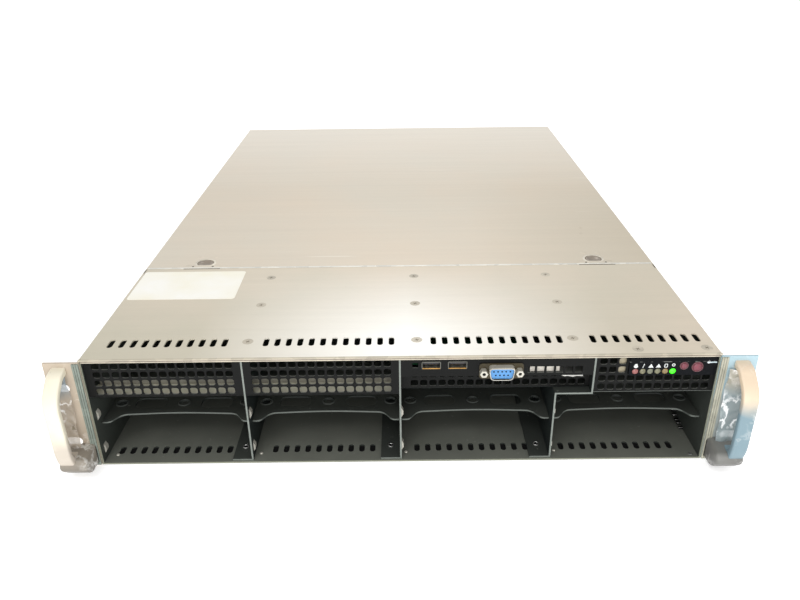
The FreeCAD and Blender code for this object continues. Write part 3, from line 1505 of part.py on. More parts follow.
def main_board():
    """The main board with its memory sockets and card edge sockets, on hexagonal standoffs."""
    across, deep = ("board_left", "board_right"), ("board_front", "board_back")
    parts = [box("board_plate", across, deep, ("board_bottom", "board_top"))]
    modules = []
    start = "cooler_from_front - memory_ahead_of_cooler"
    long = (start, f"{start} + memory_length")
    inset = (f"{long[0]} + memory_inset", f"{long[1]} - memory_inset")
    seat = "board_top + memory_socket_height"
    for bank, sign in (("left", "-"), ("right", "+")):
        for number in range(int(SIZES["memory_count"])):
            middle = f"main_board_middle {sign} ({number} + 0.5) * memory_pitch"
            wide = (f"{middle} - memory_socket_width / 2", f"{middle} + memory_socket_width / 2")
            parts.append(box(f"memory_socket_{bank}_{number}", wide, long, ("board_top", seat)))
            thin = (f"{middle} - memory_thickness / 2", f"{middle} + memory_thickness / 2")
            modules.append(box(f"memory_{bank}_{number}", thin, inset, (seat, f"{seat} + memory_height")))
    back = "board_back - card_socket_from_back"
    long, high = (f"{back} - card_socket_length", back), ("board_top", "board_top + card_socket_height")
    for number in range(int(SIZES["slot_count"])):
        middle = f"slots_right - ({number} + 0.5) * slot_pitch"
        if value(f"{middle} - card_socket_margin") > value("board_left"):
            wide = (f"{middle} - card_socket_width / 2", f"{middle} + card_socket_width / 2")
            parts.append(box(f"card_socket_{number}", wide, long, high))
    hand_over("motherboard", fuse("motherboard", parts))
    hand_over("memory_modules", group("memory_modules", modules))
    posts = []
    columns = ("board_left + standoff_margin", "main_board_middle", "board_right - standoff_margin")
    rows = ("board_front + standoff_margin", "(board_front + board_back) / 2", "board_back - standoff_margin")
    for x in columns:
        for y in rows:
            name = f"standoff_{len(posts) + 1}"
            posts.append(prism(name, "Z", "standoff_radius", (x, y, "tray_sheet"), "main_board_lift", HEX))
    hand_over("motherboard_standoffs", group("motherboard_standoffs", posts))


def coolers():
    """Two processor coolers: a base and a row of fins along the air flow."""
    both = []
    for side, sign in (("left", "-"), ("right", "+")):
        x = f"main_board_middle {sign} cooler_spacing / 2"
        wide = (f"{x} - cooler_side / 2", f"{x} + cooler_side / 2")
        face = "-cooler_from_front"
        cooler = Body(f"cooler_{side}")
        base = rectangle(wide, ("board_top", "board_top + cooler_base"))
        cooler.pad("base", cooler.sketch("XZ_Plane", [base], at=face), "cooler_side", backwards=True)
        high = ("board_top + cooler_base - fin_bite", "board_top + cooler_height")
        fin = rectangle((wide[0], f"{wide[0]} + fin_thickness"), high)
        raised = cooler.pad("fin", cooler.sketch("XZ_Plane", [fin], at=face), "cooler_side", backwards=True)
        cooler.rows("fins", raised, "cooler_fins", "(cooler_side - fin_thickness) / (cooler_fins - 1)")
        both.append(cooler.body)
    hand_over("cpu_heatsinks", group("cpu_heatsinks", both))


def air_shroud():
    """A moulded channel that leads the fans' air over the coolers."""
    shroud = Body("air_shroud")
    left, right = "board_left + shroud_inset", "board_right - shroud_inset"
    foot, front = "board_top", "(board_front + shroud_behind_board)"
    profile = [
        (left, foot),
        (f"{left} + shroud_sheet", foot),
        (f"{left} + shroud_sheet", "shroud_top - shroud_sheet"),
        (f"{right} - shroud_sheet", "shroud_top - shroud_sheet"),
        (f"{right} - shroud_sheet", foot),
        (right, foot),
        (right, "shroud_top"),
        (left, "shroud_top"),
    ]
    drawn = shroud.sketch("XZ_Plane", [profile], at=f"-{front}")
    shroud.pad("channel", drawn, f"shroud_length - ({front} - fan_back)", backwards=True)
    hood = rectangle((left, right), ("shroud_top - shroud_sheet", "shroud_top"))
    start = shroud.sketch("XZ_Plane", [hood], at="-(fan_back + shroud_behind_fans)")
    shroud.pad("hood", start, f"{front} - fan_back - shroud_behind_fans", backwards=True)
    hand_over("air_shroud", shroud.body)


# --- rear panel ---------------------------------------------------------------------------------

# Rear sockets: how far the middle is from the port plate's left edge, then whose width and height it has.
REAR_PORTS = {
    "video": ("video_place", "wide_socket"),
    "console": ("console_place", "wide_socket"),
    "network_left": ("network_first", "network"),
    "network_right": ("network_first + network_pitch", "network"),
    "usb_stack": ("usb_stack_place", "usb_stack"),
}


def rear_ports():
    """The port plate and the sockets behind it. The two network sockets are open."""
    plate = box(
        "port_plate",
        ("port_plate_left", "port_plate_right"),
        ("rear_wall", "chassis_depth"),
        ("port_plate_bottom", "port_plate_bottom + port_plate_height"),
    )
    sockets, windows = [], []
    for name, (place, kind) in REAR_PORTS.items():
        middle = f"port_plate_left + {place}"
        wide = (f"{middle} - {kind}_width / 2", f"{middle} + {kind}_width / 2")
        high = ("board_top", f"board_top + {kind}_height")
        socket = box(f"socket_block_{name}", wide, ("board_back - socket_depth", "chassis_depth"), high)
        windows.append(
            box(
                f"port_window_{name}",
                (f"{wide[0]} - port_gap", f"{wide[1]} + port_gap"),
                ("rear_wall", "chassis_depth"),
                (f"{high[0]} - port_gap", f"{high[1]} + port_gap"),
            )
        )
        if kind == "network":
            low = "board_top + network_mouth_rise"
            mouth = box(
                f"socket_mouth_{name}",
                (f"{middle} - network_mouth_width / 2", f"{middle} + network_mouth_width / 2"),
                ("chassis_depth - network_mouth_depth", "chassis_depth"),
                (low, f"{low} + network_mouth_height"),
            )
            socket = cut(f"socket_{name}", socket, [mouth])
        sockets.append(socket)
    hand_over("io_shield", cut("io_shield", plate, windows))
    hand_over("rear_ports", group("rear_ports", sockets))


def slot_covers():
    """Blanking brackets over the card slots, each with a tab over the ledge."""
    covers = []
    window_bottom = "slot_ledge - slot_window_drop - slot_window_height"
    for number in range(int(SIZES["slot_count"])):
        middle = f"slots_right - ({number} + 0.5) * slot_pitch"
        wide = (f"{middle} - slot_cover_width / 2", f"{middle} + slot_cover_width / 2")
        blade = box(
            f"bracket_{number}",
            wide,
            ("rear_wall - slot_cover_sheet", "rear_wall"),
            (f"{window_bottom} - slot_cover_overlap", "slot_ledge + slot_cover_sheet"),
        )
        tab = box(
            f"bracket_tab_{number}",
            wide,
            ("rear_wall - slot_cover_sheet", "chassis_depth"),
            ("slot_ledge", "slot_ledge + slot_cover_sheet"),
        )
        covers.append(fuse(f"slot_cover_{number}", [blade, tab]))
    hand_over("slot_covers", group("slot_covers", covers))


# --- power supplies -----------------------------------------------------------------------------


def psu_bay():
    """The wall and shelf that guide the two power supplies, and the board they plug into."""
    start = "psu_front - power_board_setback"
    wall = box(
        "psu_side",
        ("psu_wall - tray_sheet", "psu_wall"),
        (start, "rear_wall"),
        ("tray_sheet", "wall_top - psu_wall_drop"),
    )
    foot = box(
        "psu_foot",
        ("psu_wall - tray_sheet - psu_wall_foot", "psu_wall"),
        (start, "rear_wall"),
        ("tray_sheet", "2 * tray_sheet"),
    )
    thick = ("psu_shelf", "psu_shelf + tray_sheet")
    shelf = box("psu_shelf_plate", ("psu_wall", "wall_in"), ("psu_front", "rear_wall"), thick)
    hand_over("psu_bay", fuse("psu_bay", [wall, foot, shelf]))
    board = box(
        "power_board",
        ("psu_wall", "wall_in"),
        (start, f"{start} + board_thickness"),
        ("tray_sheet + power_board_margin", "wall_top - power_board_drop"),
    )
    plugs = [board]
    for name, floor in (("lower", "lower_psu"), ("upper", "upper_psu")):
        low = f"{floor} + psu_plug_above_floor"
        plugs.append(
            box(
                f"psu_plug_{name}",
                ("psu_left + psu_plug_inset", "psu_right - psu_plug_inset"),
                (f"{start} + board_thickness", "psu_front - psu_gap"),
                (low, f"{low} + psu_plug_height"),
            )
        )
    hand_over("power_distribution_board", fuse("power_distribution_board", plugs))


def psu(name, floor):
    """One hot-swap power supply: case, fan, folding bail handle and latch lever."""
    fan_x, fan_z = "psu_left + psu_fan_from_side", f"{floor} + psu_height / 2"
    inlet_x = "psu_right - inlet_width / 2 - inlet_from_side"
    inlet_z = f"{floor} + inlet_height / 2 + inlet_above_floor"
    latch_z = f"{inlet_z} + inlet_height / 2 + latch_above_inlet"
    pivot_y, bail_z = "psu_back + eye_side / 2", f"{floor} + psu_height - bail_from_top"
    high = (floor, f"{floor} + psu_height")
    case = box(f"psu_block_{name}", ("psu_left", "psu_right"), ("psu_front", "psu_back"), high)
    start = (fan_x, "psu_back - psu_fan_depth", fan_z)
    duct = rod(f"psu_duct_{name}", "Y", "psu_fan_radius", start, "psu_fan_depth")
    start = (fan_x, "psu_back - psu_fan_depth - psu_bearing_depth", fan_z)
    length = "psu_bearing_depth + cut_clearance"
    bearing = rod(f"psu_bearing_{name}", "Y", "shaft_radius / 2 + shaft_gap", start, length)
    half_wide, half_high = "(inlet_width / 2 - inlet_rim)", "(inlet_height / 2 - inlet_rim)"
    recess = box(
        f"inlet_recess_{name}",
        (f"{inlet_x} - {half_wide}", f"{inlet_x} + {half_wide}"),
        ("psu_back - inlet_depth", "psu_back"),
        (f"{inlet_z} - {half_high}", f"{inlet_z} + {half_high}"),
    )
    parts = [cut(f"psu_shell_{name}", case, [duct, recess, bearing])]
    z = f"{inlet_z} + inlet_pin_rise"
    high = (f"{z} - inlet_pin_height / 2", f"{z} + inlet_pin_height / 2")
    deep = ("psu_back - inlet_depth", "psu_back - inlet_pin_setback")
    for number in range(int(SIZES["inlet_pin_count"])):
        x = f"{inlet_x} + ({number} - (inlet_pin_count - 1) / 2) * inlet_pin_pitch"
        wide = (f"{x} - inlet_pin_width / 2", f"{x} + inlet_pin_width / 2")
        parts.append(box(f"inlet_pin_{name}_{number}", wide, deep, high))
    parts += eyes(f"bail_eye_{name}", fan_x, "bail_width / 2", bail_z)
    parts += eyes(f"latch_eye_{name}", inlet_x, "latch_width / 2 + eye_sheet / 2 + bail_gap", latch_z)
    solid = fuse(f"psu_body_{name}", parts)
    start = (f"{fan_x} - bail_width", pivot_y, bail_z)
    length = "2 * bail_width - bail_hole_stop"
    holes = [rod(f"bail_hole_{name}", "X", "bail_radius + bail_gap", start, length)]
    start = (f"{inlet_x} - latch_width", pivot_y, latch_z)
    holes.append(rod(f"latch_hole_{name}", "X", "latch_pin + bail_gap", start, "2 * latch_width"))
    hand_over(f"psu_{name}_case", cut(f"psu_{name}_case", solid, holes))
    bail(name, fan_x, pivot_y, bail_z)
    latch(name, inlet_x, pivot_y, latch_z)
    shape = impeller(
        value("psu_hub_radius"),
        value("psu_fan_depth - psu_rotor_front_gap - psu_rotor_setback"),
        value("psu_fan_radius - fan_tip_gap"),
        int(SIZES["psu_fan_blades"]),
        value("shaft_radius / 2"),
        value("psu_rotor_front_gap + psu_bearing_depth - psu_shaft_end_gap"),
    )
    shape.rotate(FreeCAD.Vector(), Z_AXIS, 180)
    rotor = made(f"psu_{name}_fan", shape, fan_x, "psu_back - psu_rotor_setback", fan_z)
    hand_over(f"psu_{name}_fan", rotor)


def eyes(name, middle, spread, z):
    """Two square eyes on the rear face of a supply, either side of a middle."""
    pair = []
    high = (f"{z} - eye_side / 2", f"{z} + eye_side / 2")
    for side, sign in (("low", "-"), ("high", "+")):
        x = f"{middle} {sign} ({spread})"
        wide = (f"{x} - eye_sheet / 2", f"{x} + eye_sheet / 2")
        pair.append(box(f"{name}_{side}", wide, ("psu_back", "psu_back + eye_side"), high))
    return pair


def bail(name, middle, y, z):
    """A bail handle of square bar, hanging from two eyes: two round pins, two arms and a grip."""
    inner = "bail_width / 2 - eye_sheet / 2"
    outer = "bail_width / 2 + eye_sheet / 2 + release_gap + bail_radius"
    low = f"{z} - bail_drop"
    thick = (f"{y} - bail_radius", f"{y} + bail_radius")
    parts = []
    for side, sign in (("low", "-"), ("high", "+")):
        start = f"{middle} - ({outer})" if side == "low" else f"{middle} + {inner}"
        length = f"({outer}) - ({inner})"
        parts.append(rod(f"bail_pin_{name}_{side}", "X", "bail_radius", (start, y, z), length))
        x = f"{middle} {sign} ({outer})"
        wide = (f"{x} - bail_radius", f"{x} + bail_radius")
        high = (f"{low} - bail_radius", f"{z} + bail_radius")
        parts.append(box(f"bail_arm_{name}_{side}", wide, thick, high))
    wide = (f"{middle} - ({outer})", f"{middle} + {outer}")
    parts.append(box(f"bail_grip_{name}", wide, thick, (f"{low} - bail_radius", f"{low} + bail_radius")))
    hand_over(f"psu_{name}_handle", fuse(f"psu_{name}_handle", parts))


def latch(name, middle, y, z):
    """A latch lever: a barrel on a pin between two eyes, with a thumb tab."""
    wide = (f"{middle} - latch_width / 2", f"{middle} + latch_width / 2")
    barrel = rod(f"latch_barrel_{name}", "X", "latch_barrel", (wide[0], y, z), "latch_width")
    start = (f"{middle} - latch_width / 2 - eye_sheet", y, z)
    pin = rod(f"latch_pin_{name}", "X", "latch_pin", start, "latch_width + 2 * eye_sheet")
    thick = (f"{z} - latch_sheet / 2", f"{z} + latch_sheet / 2")
    tab = box(f"latch_tab_{name}", wide, (y, f"{y} + latch_reach"), thick)
    hand_over(f"psu_{name}_latch", fuse(f"psu_{name}_latch", [barrel, pin, tab]))


def build():
    """Make every piece in turn."""
    chassis_tray()
    front_cover()
    rear_cover()
    release_button("left", "-")
    release_button("right", "")
    dividers()
    divider_screws()
    drive_shelves()
    bay_springs()
    grilles()
    port_tray()
    usb_ports()
    serial_port()
    control_panel()
    ears()
    handles()
    rail_studs()
    backplane()
    fan_wall()
    fan_frames()
    fan_rotors()
    main_board()
    coolers()
    air_shroud()
    rear_ports()
    slot_covers()
    psu_bay()
    psu("lower", "lower_psu")
    psu("upper", "upper_psu")


def write():
    """Check every object, then write one STEP file for each piece."""
    doc.recompute()
    bad = [thing.Name for thing in doc.Objects if {"Invalid", "Error"} & set(thing.State)]
    bad += [piece.Label for piece in pieces if piece.Shape.isNull() or not piece.Shape.isValid()]
    if bad:
        raise RuntimeError(f"these objects failed: {', '.join(bad)}")
    os.makedirs("parts", exist_ok=True)
    for piece in pieces:
        piece.Shape.exportStep(f"parts/{piece.Label}.step")
        print(f"{piece.Label}: {len(piece.Shape.Solids)} solids, {piece.Shape.Volume:.1f} mm3")


build()
write()
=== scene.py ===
"""Looks of the two-unit rack server: its finishes, its formed sheet metal and its small hardware.

Lengths are written in millimetres in the part's own frame and become metres when a piece is made.
"""

import logging
import math
from dataclasses import dataclass, field
from enum import Enum
from typing import Callable, Iterable, Sequence, Union

import bmesh
import bpy
from mathutils import Euler, Matrix, Vector


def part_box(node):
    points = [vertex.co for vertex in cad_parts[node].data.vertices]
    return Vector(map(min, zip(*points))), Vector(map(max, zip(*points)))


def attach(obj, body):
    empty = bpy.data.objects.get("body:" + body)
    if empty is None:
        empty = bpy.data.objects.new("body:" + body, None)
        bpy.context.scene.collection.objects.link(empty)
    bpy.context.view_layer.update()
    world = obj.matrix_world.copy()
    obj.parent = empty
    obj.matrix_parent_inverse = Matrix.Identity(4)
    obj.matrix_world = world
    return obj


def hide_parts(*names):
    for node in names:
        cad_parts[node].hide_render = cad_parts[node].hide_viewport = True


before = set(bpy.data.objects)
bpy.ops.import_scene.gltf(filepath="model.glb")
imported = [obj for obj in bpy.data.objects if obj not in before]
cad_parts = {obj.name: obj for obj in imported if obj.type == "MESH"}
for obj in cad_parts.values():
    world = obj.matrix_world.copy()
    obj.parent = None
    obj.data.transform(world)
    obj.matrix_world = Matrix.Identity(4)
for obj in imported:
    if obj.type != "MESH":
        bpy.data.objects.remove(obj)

LOG = logging.getLogger("rack_server")
MILLIMETRE = 0.001
WHITE = (1.0, 1.0, 1.0, 1.0)

Point = tuple[float, float]
Outline = list[Point]
Place = tuple[float, float, float]
Colour = tuple[int, int, int]

EVEN: Place = (1.0, 1.0, 1.0)


# --- shader expressions ---


class Signal:
    """A node's output that takes part in sums: each operator adds its Math node."""

    def __init__(self, graph: "Graph", socket: bpy.types.NodeSocket) -> None:
        """Wrap a socket.

        Args:
            graph: The graph that the socket's node is in.
            socket: The output socket.
        """
        self.graph = graph
        self.socket = socket

    def output(self, name: str) -> "Signal":
        """Return another output of the same node."""
        return Signal(self.graph, self.socket.node.outputs[name])

    def math(self, operation: str, *values: "Value", clamp: bool = False) -> "Signal":
        """Return a Math node of the values, in order."""
        settings = {"operation": operation, "use_clamp": clamp}
        return self.graph.node("ShaderNodeMath", settings, dict(enumerate(values)))

    def __add__(self, other: "Value") -> "Signal":
        """Return self + other."""
        return self.math("ADD", self, other)

    def __radd__(self, other: "Value") -> "Signal":
        """Return other + self."""
        return self.math("ADD", other, self)

    def __sub__(self, other: "Value") -> "Signal":
        """Return self - other."""
        return self.math("SUBTRACT", self, other)

    def __rsub__(self, other: "Value") -> "Signal":
        """Return other - self."""
        return self.math("SUBTRACT", other, self)

    def __mul__(self, other: "Value") -> "Signal":
        """Return self * other."""
        return self.math("MULTIPLY", self, other)

    def __rmul__(self, other: "Value") -> "Signal":
        """Return other * self."""
        return self.math("MULTIPLY", other, self)

    def __abs__(self) -> "Signal":
        """Return the absolute value."""
        return self.math("ABSOLUTE", self)

    def clamped(self) -> "Signal":
        """Return the value held between 0 and 1."""
        return self.math("ADD", self, 0.0, clamp=True)

    def above(self, edge: float, soft: float) -> "Signal":
        """Return 0 below an edge and 1 above it, over a soft width."""
        return ((self - edge) * (1.0 / soft)).clamped()

    def below(self, edge: float, soft: float) -> "Signal":
        """Return 1 below an edge and 0 above it, over a soft width."""
        return ((edge - self) * (1.0 / soft)).clamped()

    def creases(self, thin: float, breaks: "Signal") -> "Signal":
        """Return thin lines at the middle value of a noise, broken off by a second signal."""
        return (1.0 - abs(self - 0.5) * thin).clamped() * breaks


Value = Union[Signal, float]
Paint = Union[Signal, Colour]


def linear(colour: Colour) -> tuple[float, float, float, float]:
    """Return a display colour as the linear colour that a shader takes.

    Args:
        colour: Its parts, in 0 to 255.

    Returns:
        The linear colour, opaque.
    """
    scaled = [part / 255.0 for part in colour]
    straight = [
        part / 12.92 if part <= 0.04045 else ((part + 0.055) / 1.055) ** 2.4 for part in scaled
    ]
    return (straight[0], straight[1], straight[2], 1.0)


class Graph:
    """A node tree that is written as expressions."""

    def __init__(self, tree: bpy.types.NodeTree) -> None:
        """Wrap a tree.

        Args:
            tree: A material's, world's or modifier's node tree.
        """
        self.tree = tree

    def node(
        self,
        kind: str,
        settings: dict | None = None,
        inputs: dict | None = None,
        out: int | str = 0,
    ) -> Signal:
        """Add a node.

        Args:
            kind: The node's type.
            settings: Its properties, set first.
            inputs: The values or links of its sockets, by name or number.
            out: The output to return.

        Returns:
            The wanted output.
        """
        made = self.tree.nodes.new(kind)
        for key, setting in (settings or {}).items():
            setattr(made, key, setting)
        for key, given in (inputs or {}).items():
            socket = made.inputs[key]
            if isinstance(given, Signal):
                self.tree.links.new(given.socket, socket)
            else:
                socket.default_value = given
        return Signal(self, made.outputs[out]) if made.outputs else Signal(self, None)

    def where(self) -> Signal:
        """Return the place on the part, in metres."""
        return self.node("ShaderNodeTexCoord", out="Object")

    def axis(self, name: str) -> Signal:
        """Return one coordinate of the place, in millimetres."""
        place = self.node("ShaderNodeSeparateXYZ", inputs={"Vector": self.where()}, out=name)
        return place * 1000.0

    def facing(self, name: str) -> Signal:
        """Return one component of the surface's true direction."""
        normal = self.node("ShaderNodeNewGeometry", out="True Normal")
        return self.node("ShaderNodeSeparateXYZ", inputs={"Vector": normal}, out=name)

    def stretched(self, size: float, along: Place = EVEN, shift: float = 0.0) -> Signal:
        """Return coordinates whose unit is a size in millimetres, longer along chosen axes."""
        scale = [1000.0 / (size * length) for length in along]
        inputs = {"Vector": self.where(), "Scale": scale, "Location": (shift, shift, shift)}
        return self.node("ShaderNodeMapping", inputs=inputs)

    def noise(
        self, size: float, detail: float = 3.0, along: Place = EVEN, shift: float = 0.0
    ) -> Signal:
        """Return a noise from 0 to 1 whose features are about a size in millimetres."""
        place = self.stretched(size, along, shift)
        inputs = {"Vector": place, "Scale": 1.0, "Detail": detail, "Roughness": 0.55}
        return self.node("ShaderNodeTexNoise", inputs=inputs, out="Fac")

    def cells(self, size: float, feature: str = "F1", along: Place = EVEN) -> Signal:
        """Return the colours of cells about a size in millimetres, or another feature."""
        out = "Distance" if feature != "F1" else "Color"
        inputs = {"Vector": self.stretched(size, along), "Scale": 1.0}
        return self.node("ShaderNodeTexVoronoi", {"feature": feature}, inputs, out)

    def mix(self, share: Value, first: Paint, second: Paint) -> Signal:
        """Return a blend of two colours, by a share from 0 to 1."""
        pair = [paint if isinstance(paint, Signal) else linear(paint) for paint in (first, second)]
        inputs = {0: share, 6: pair[0], 7: pair[1]}
        return self.node("ShaderNodeMix", {"data_type": "RGBA"}, inputs, 2)

    def shade(self, colour: Signal, factor: Signal) -> Signal:
        """Return a colour times a number."""
        grey = self.node("ShaderNodeCombineXYZ", inputs={0: factor, 1: factor, 2: factor})
        return self.node("ShaderNodeVectorMath", {"operation": "MULTIPLY"}, {0: colour, 1: grey})

    def bump(self, height: Signal, depth: float, strength: float = 1.0) -> Signal:
        """Return a surface direction roughened by a height, over a depth in millimetres."""
        inputs = {"Height": height, "Distance": depth * MILLIMETRE, "Strength": strength}
        return self.node("ShaderNodeBump", inputs=inputs)


# --- finishes ---


@dataclass(frozen=True)
class Finish:
    """A surface finish. Each kind fills in what changes over the surface.

    Attributes:
        name: The finish's name.
        colour: Its colour as displayed, in 0 to 255.
        roughness: How dull it is.
        metallic: How much it is bare metal.
    """

    name: str
    colour: Colour
    roughness: float = 0.5
    metallic: float = 0.0

    def toned(self, factor: float) -> Colour:
        """Return the finish's colour, darker or lighter by a factor."""
        red, green, blue = (min(255, int(part * factor)) for part in self.colour)
        return red, green, blue

    def material(self) -> bpy.types.Material:
        """Return the finish's material, made once.

        Returns:
            The material.
        """
        found = bpy.data.materials.get(self.name)
        if found:
            return found
        material = bpy.data.materials.new(self.name)
        material.use_nodes = True
        material.node_tree.nodes.clear()
        graph = Graph(material.node_tree)
        inputs = {"Base Color": linear(self.colour), "Roughness": self.roughness}
        inputs.update({"Metallic": self.metallic, **self.surface(graph)})
        shader = graph.node("ShaderNodeBsdfPrincipled", inputs=inputs)
        graph.node("ShaderNodeOutputMaterial", inputs={"Surface": shader})
        return material

    def surface(self, graph: Graph) -> dict:
        """Return what this finish sets or varies.

        Args:
            graph: The material's graph.

        Returns:
            The shader's inputs, by name.
        """
        speckle = graph.noise(1.4)
        colour = graph.mix(graph.noise(18.0), self.colour, self.toned(0.86))
        return {"Base Color": colour, "Normal": graph.bump(speckle, 0.03)}


@dataclass(frozen=True)
class CoverSteel(Finish):
    """Satin galvanised sheet: rolling streaks, hand marks, stains and fine scratches, a painted
    highlight in the middle of its front, painted shade on its left front and right side, and a
    paler tone towards the rear.

    Attributes:
        glow: How strongly a painted highlight pales the middle of its front.
        wear_and_lighting: How many scratches and stains it has, how much painted shade darkens its
            right side, and how much paler it grows towards the rear.
    """

    glow: float = 0.0
    wear_and_lighting: float = 0.3

    def surface(self, graph: Graph) -> dict:
        """Return what this finish sets or varies.

        Args:
            graph: The material's graph.

        Returns:
            The shader's inputs, by name.
        """
        x, y = graph.axis("X"), graph.axis("Y")
        cloud = graph.noise(120.0, 4.0)
        streak = graph.noise(6.0, 2.0, (30.0, 1.0, 1.0))
        grain = graph.noise(0.8, 2.0, (6.0, 1.0, 1.0))
        warm = graph.mix(cloud.above(0.35, 0.35), self.colour, (222, 209, 190))
        # painted shade over the left front
        shadow = x.below(-60.0, 160.0) * y.below(120.0, 120.0) * 0.75
        left_shade = graph.mix(shadow, warm, (194, 190, 170))
        # a painted highlight in the middle of the front, as strong as glow
        middle = (1.0 - abs(x - 5.0) * (1.0 / 150.0)).clamped() * y.below(150.0, 120.0)
        pale = graph.mix(middle * self.glow, left_shade, (255, 254, 248))
        # painted shade over the right side, then a paler tone towards the rear
        dim = x.above(70.0, 150.0) * y.below(480.0, 240.0) * self.wear_and_lighting
        far = y.above(360.0, 260.0) * (0.8 * self.wear_and_lighting)
        toned = graph.mix(far, graph.mix(dim, pale, (206, 195, 174)), (242, 235, 222))
        stain = graph.noise(16.0, 6.0, (1.0, 2.6, 1.0), 3.0).above(0.7, 0.06) * (0.16 * self.wear_and_lighting)
        marked = graph.mix(stain, toned, (164, 146, 120))
        line = graph.noise(1.6, 1.0, (90.0, 2.5, 1.0), 7.0).above(0.72, 0.03)
        line = line * graph.noise(60.0, 1.0, shift=9.0).above(0.5, 0.1)
        scratched = graph.mix(line * (0.5 * self.wear_and_lighting), marked, (245, 238, 226))
        shaded = graph.shade(scratched, 0.93 + streak * 0.08 + (grain - 0.5) * 0.05)
        height = streak * 0.5 + grain * 0.25 - line * (0.6 * self.wear_and_lighting)
        return {
            "Base Color": shaded,
            "Roughness": (self.roughness - 0.08) + cloud * 0.16 + stain * 0.3,
            "Normal": graph.bump(height, 0.04, 0.6),
            "Specular IOR Level": 0.4,
        }


@dataclass(frozen=True)
class DarkSheet(Finish):
    """Dark sheet, paler on what faces up, with bare metal on its front edges.

    Attributes:
        dust_and_light: The colour of the paler upper faces: a dusting on most sheets, painted light
            on the grille returns, and a painted highlight on the perforated panels' hole edges and
            the shelf hole rims.
        edge: The colour of the cut front edges.
        front: How far back the front edges are, in millimetres; edges behind it stay dark.
        edge_share: How bright the edges are.
        least_upward_share: The least share of that colour on a face that looks up.
    """

    dust_and_light: Colour = (78, 80, 75)
    edge: Colour = (150, 153, 146)
    front: float = 4.0
    edge_share: float = 0.9
    least_upward_share: float = 0.35

    def surface(self, graph: Graph) -> dict:
        """Return what this finish sets or varies.

        Args:
            graph: The material's graph.

        Returns:
            The shader's inputs, by name.
        """
        y = graph.axis("Y")
        speck = graph.noise(2.2, 3.0)
        cloud = graph.noise(45.0, 4.0)
        up = graph.facing("Z").above(0.5, 0.3)
        near = y.below(140.0, 150.0)
        # upward faces take the paler colour, more of it towards the front: a dusting on most
        # sheets, painted light on the grille returns and painted highlights on hole edges and rims
        share = up * (self.least_upward_share + cloud * 0.6) * (0.35 + near * 0.65)
        upward_toned = graph.mix(share, self.colour, self.dust_and_light)
        specks = graph.noise(3.0, 1.0, shift=5.0).above(0.74, 0.02) * up
        spotted = graph.mix(specks * 0.5, upward_toned, (128, 130, 122))
        cut = graph.facing("Y").below(-0.5, 0.2) * y.below(self.front, 0.2) * self.edge_share
        edged = graph.mix(cut * (0.7 + speck * 0.5), spotted, self.edge)
        return {
            "Base Color": edged,
            "Roughness": self.roughness + (cloud - 0.5) * 0.2,
            "Metallic": cut * 0.5,
            "Normal": graph.bump(speck, 0.04, 0.5),
            "Specular IOR Level": 0.15,
        }


@dataclass(frozen=True)
class BrightSteel(Finish):
    """Bare plated steel with faint spangle."""

    def surface(self, graph: Graph) -> dict:
        """Return what this finish sets or varies.

        Args:
            graph: The material's graph.

        Returns:
            The shader's inputs, by name.
        """
        spangle = graph.node("ShaderNodeSeparateColor", inputs={"Color": graph.cells(7.0)})
        cloud = graph.noise(20.0, 3.0)
        share = (spangle * 0.5 + cloud * 0.6).clamped()
        colour = graph.mix(share, self.colour, self.toned(0.8))
        return {
            "Base Color": colour,
            "Roughness": self.roughness + (spangle - 0.5) * 0.12,
            "Normal": graph.bump(graph.noise(0.9, 2.0), 0.02, 0.5),
        }


@dataclass(frozen=True)
class EarPaint(Finish):
    """Painted ear or handle under yellowed film, of one tone above a height and another below it,
    with painted highlights along the film's creases.

    Attributes:
        lower: The colour of the lower part.
        level: The height at which the tones meet.
        crease_highlight: How strongly the film's creases are painted as pale highlights.
    """

    lower: Colour = (176, 205, 214)
    level: float = 40.0
    crease_highlight: float = 0.3

    def surface(self, graph: Graph) -> dict:
        """Return what this finish sets or varies.

        Args:
            graph: The material's graph.

        Returns:
            The shader's inputs, by name.
        """
        cloud = graph.noise(30.0, 2.0)
        crumple = graph.noise(9.0, 3.0, shift=4.0)
        below = (graph.axis("Z") + cloud * 24.0).below(self.level + 18.0, 14.0)
        base = graph.mix(below, self.colour, self.lower)
        breaks = graph.noise(22.0, 1.0, shift=8.0).above(0.52, 0.12)
        crease = crumple.creases(18.0, breaks)
        # painted highlights along the film's creases
        pale = graph.mix(crease * self.crease_highlight, base, (250, 249, 244))
        return {
            "Base Color": graph.shade(pale, 0.95 + cloud * 0.1),
            "Roughness": self.roughness - crease * 0.15,
            "Normal": graph.bump(crumple, 0.25, 0.5),
            "Coat Weight": crease * 0.4,
            "Coat Roughness": 0.12,
        }


@dataclass(frozen=True)
class Moulding(Finish):
    """Moulded plastic with a fine texture."""

    def surface(self, graph: Graph) -> dict:
        """Return what this finish sets or varies.

        Args:
            graph: The material's graph.

        Returns:
            The shader's inputs, by name.
        """
        fine = graph.noise(0.5, 2.0)
        cloud = graph.noise(12.0, 2.0)
        return {
            "Base Color": graph.mix(cloud, self.colour, self.toned(0.8)),
            "Roughness": self.roughness + (cloud - 0.5) * 0.12,
            "Normal": graph.bump(fine, 0.03, 0.6),
            "Specular IOR Level": 0.25,
        }


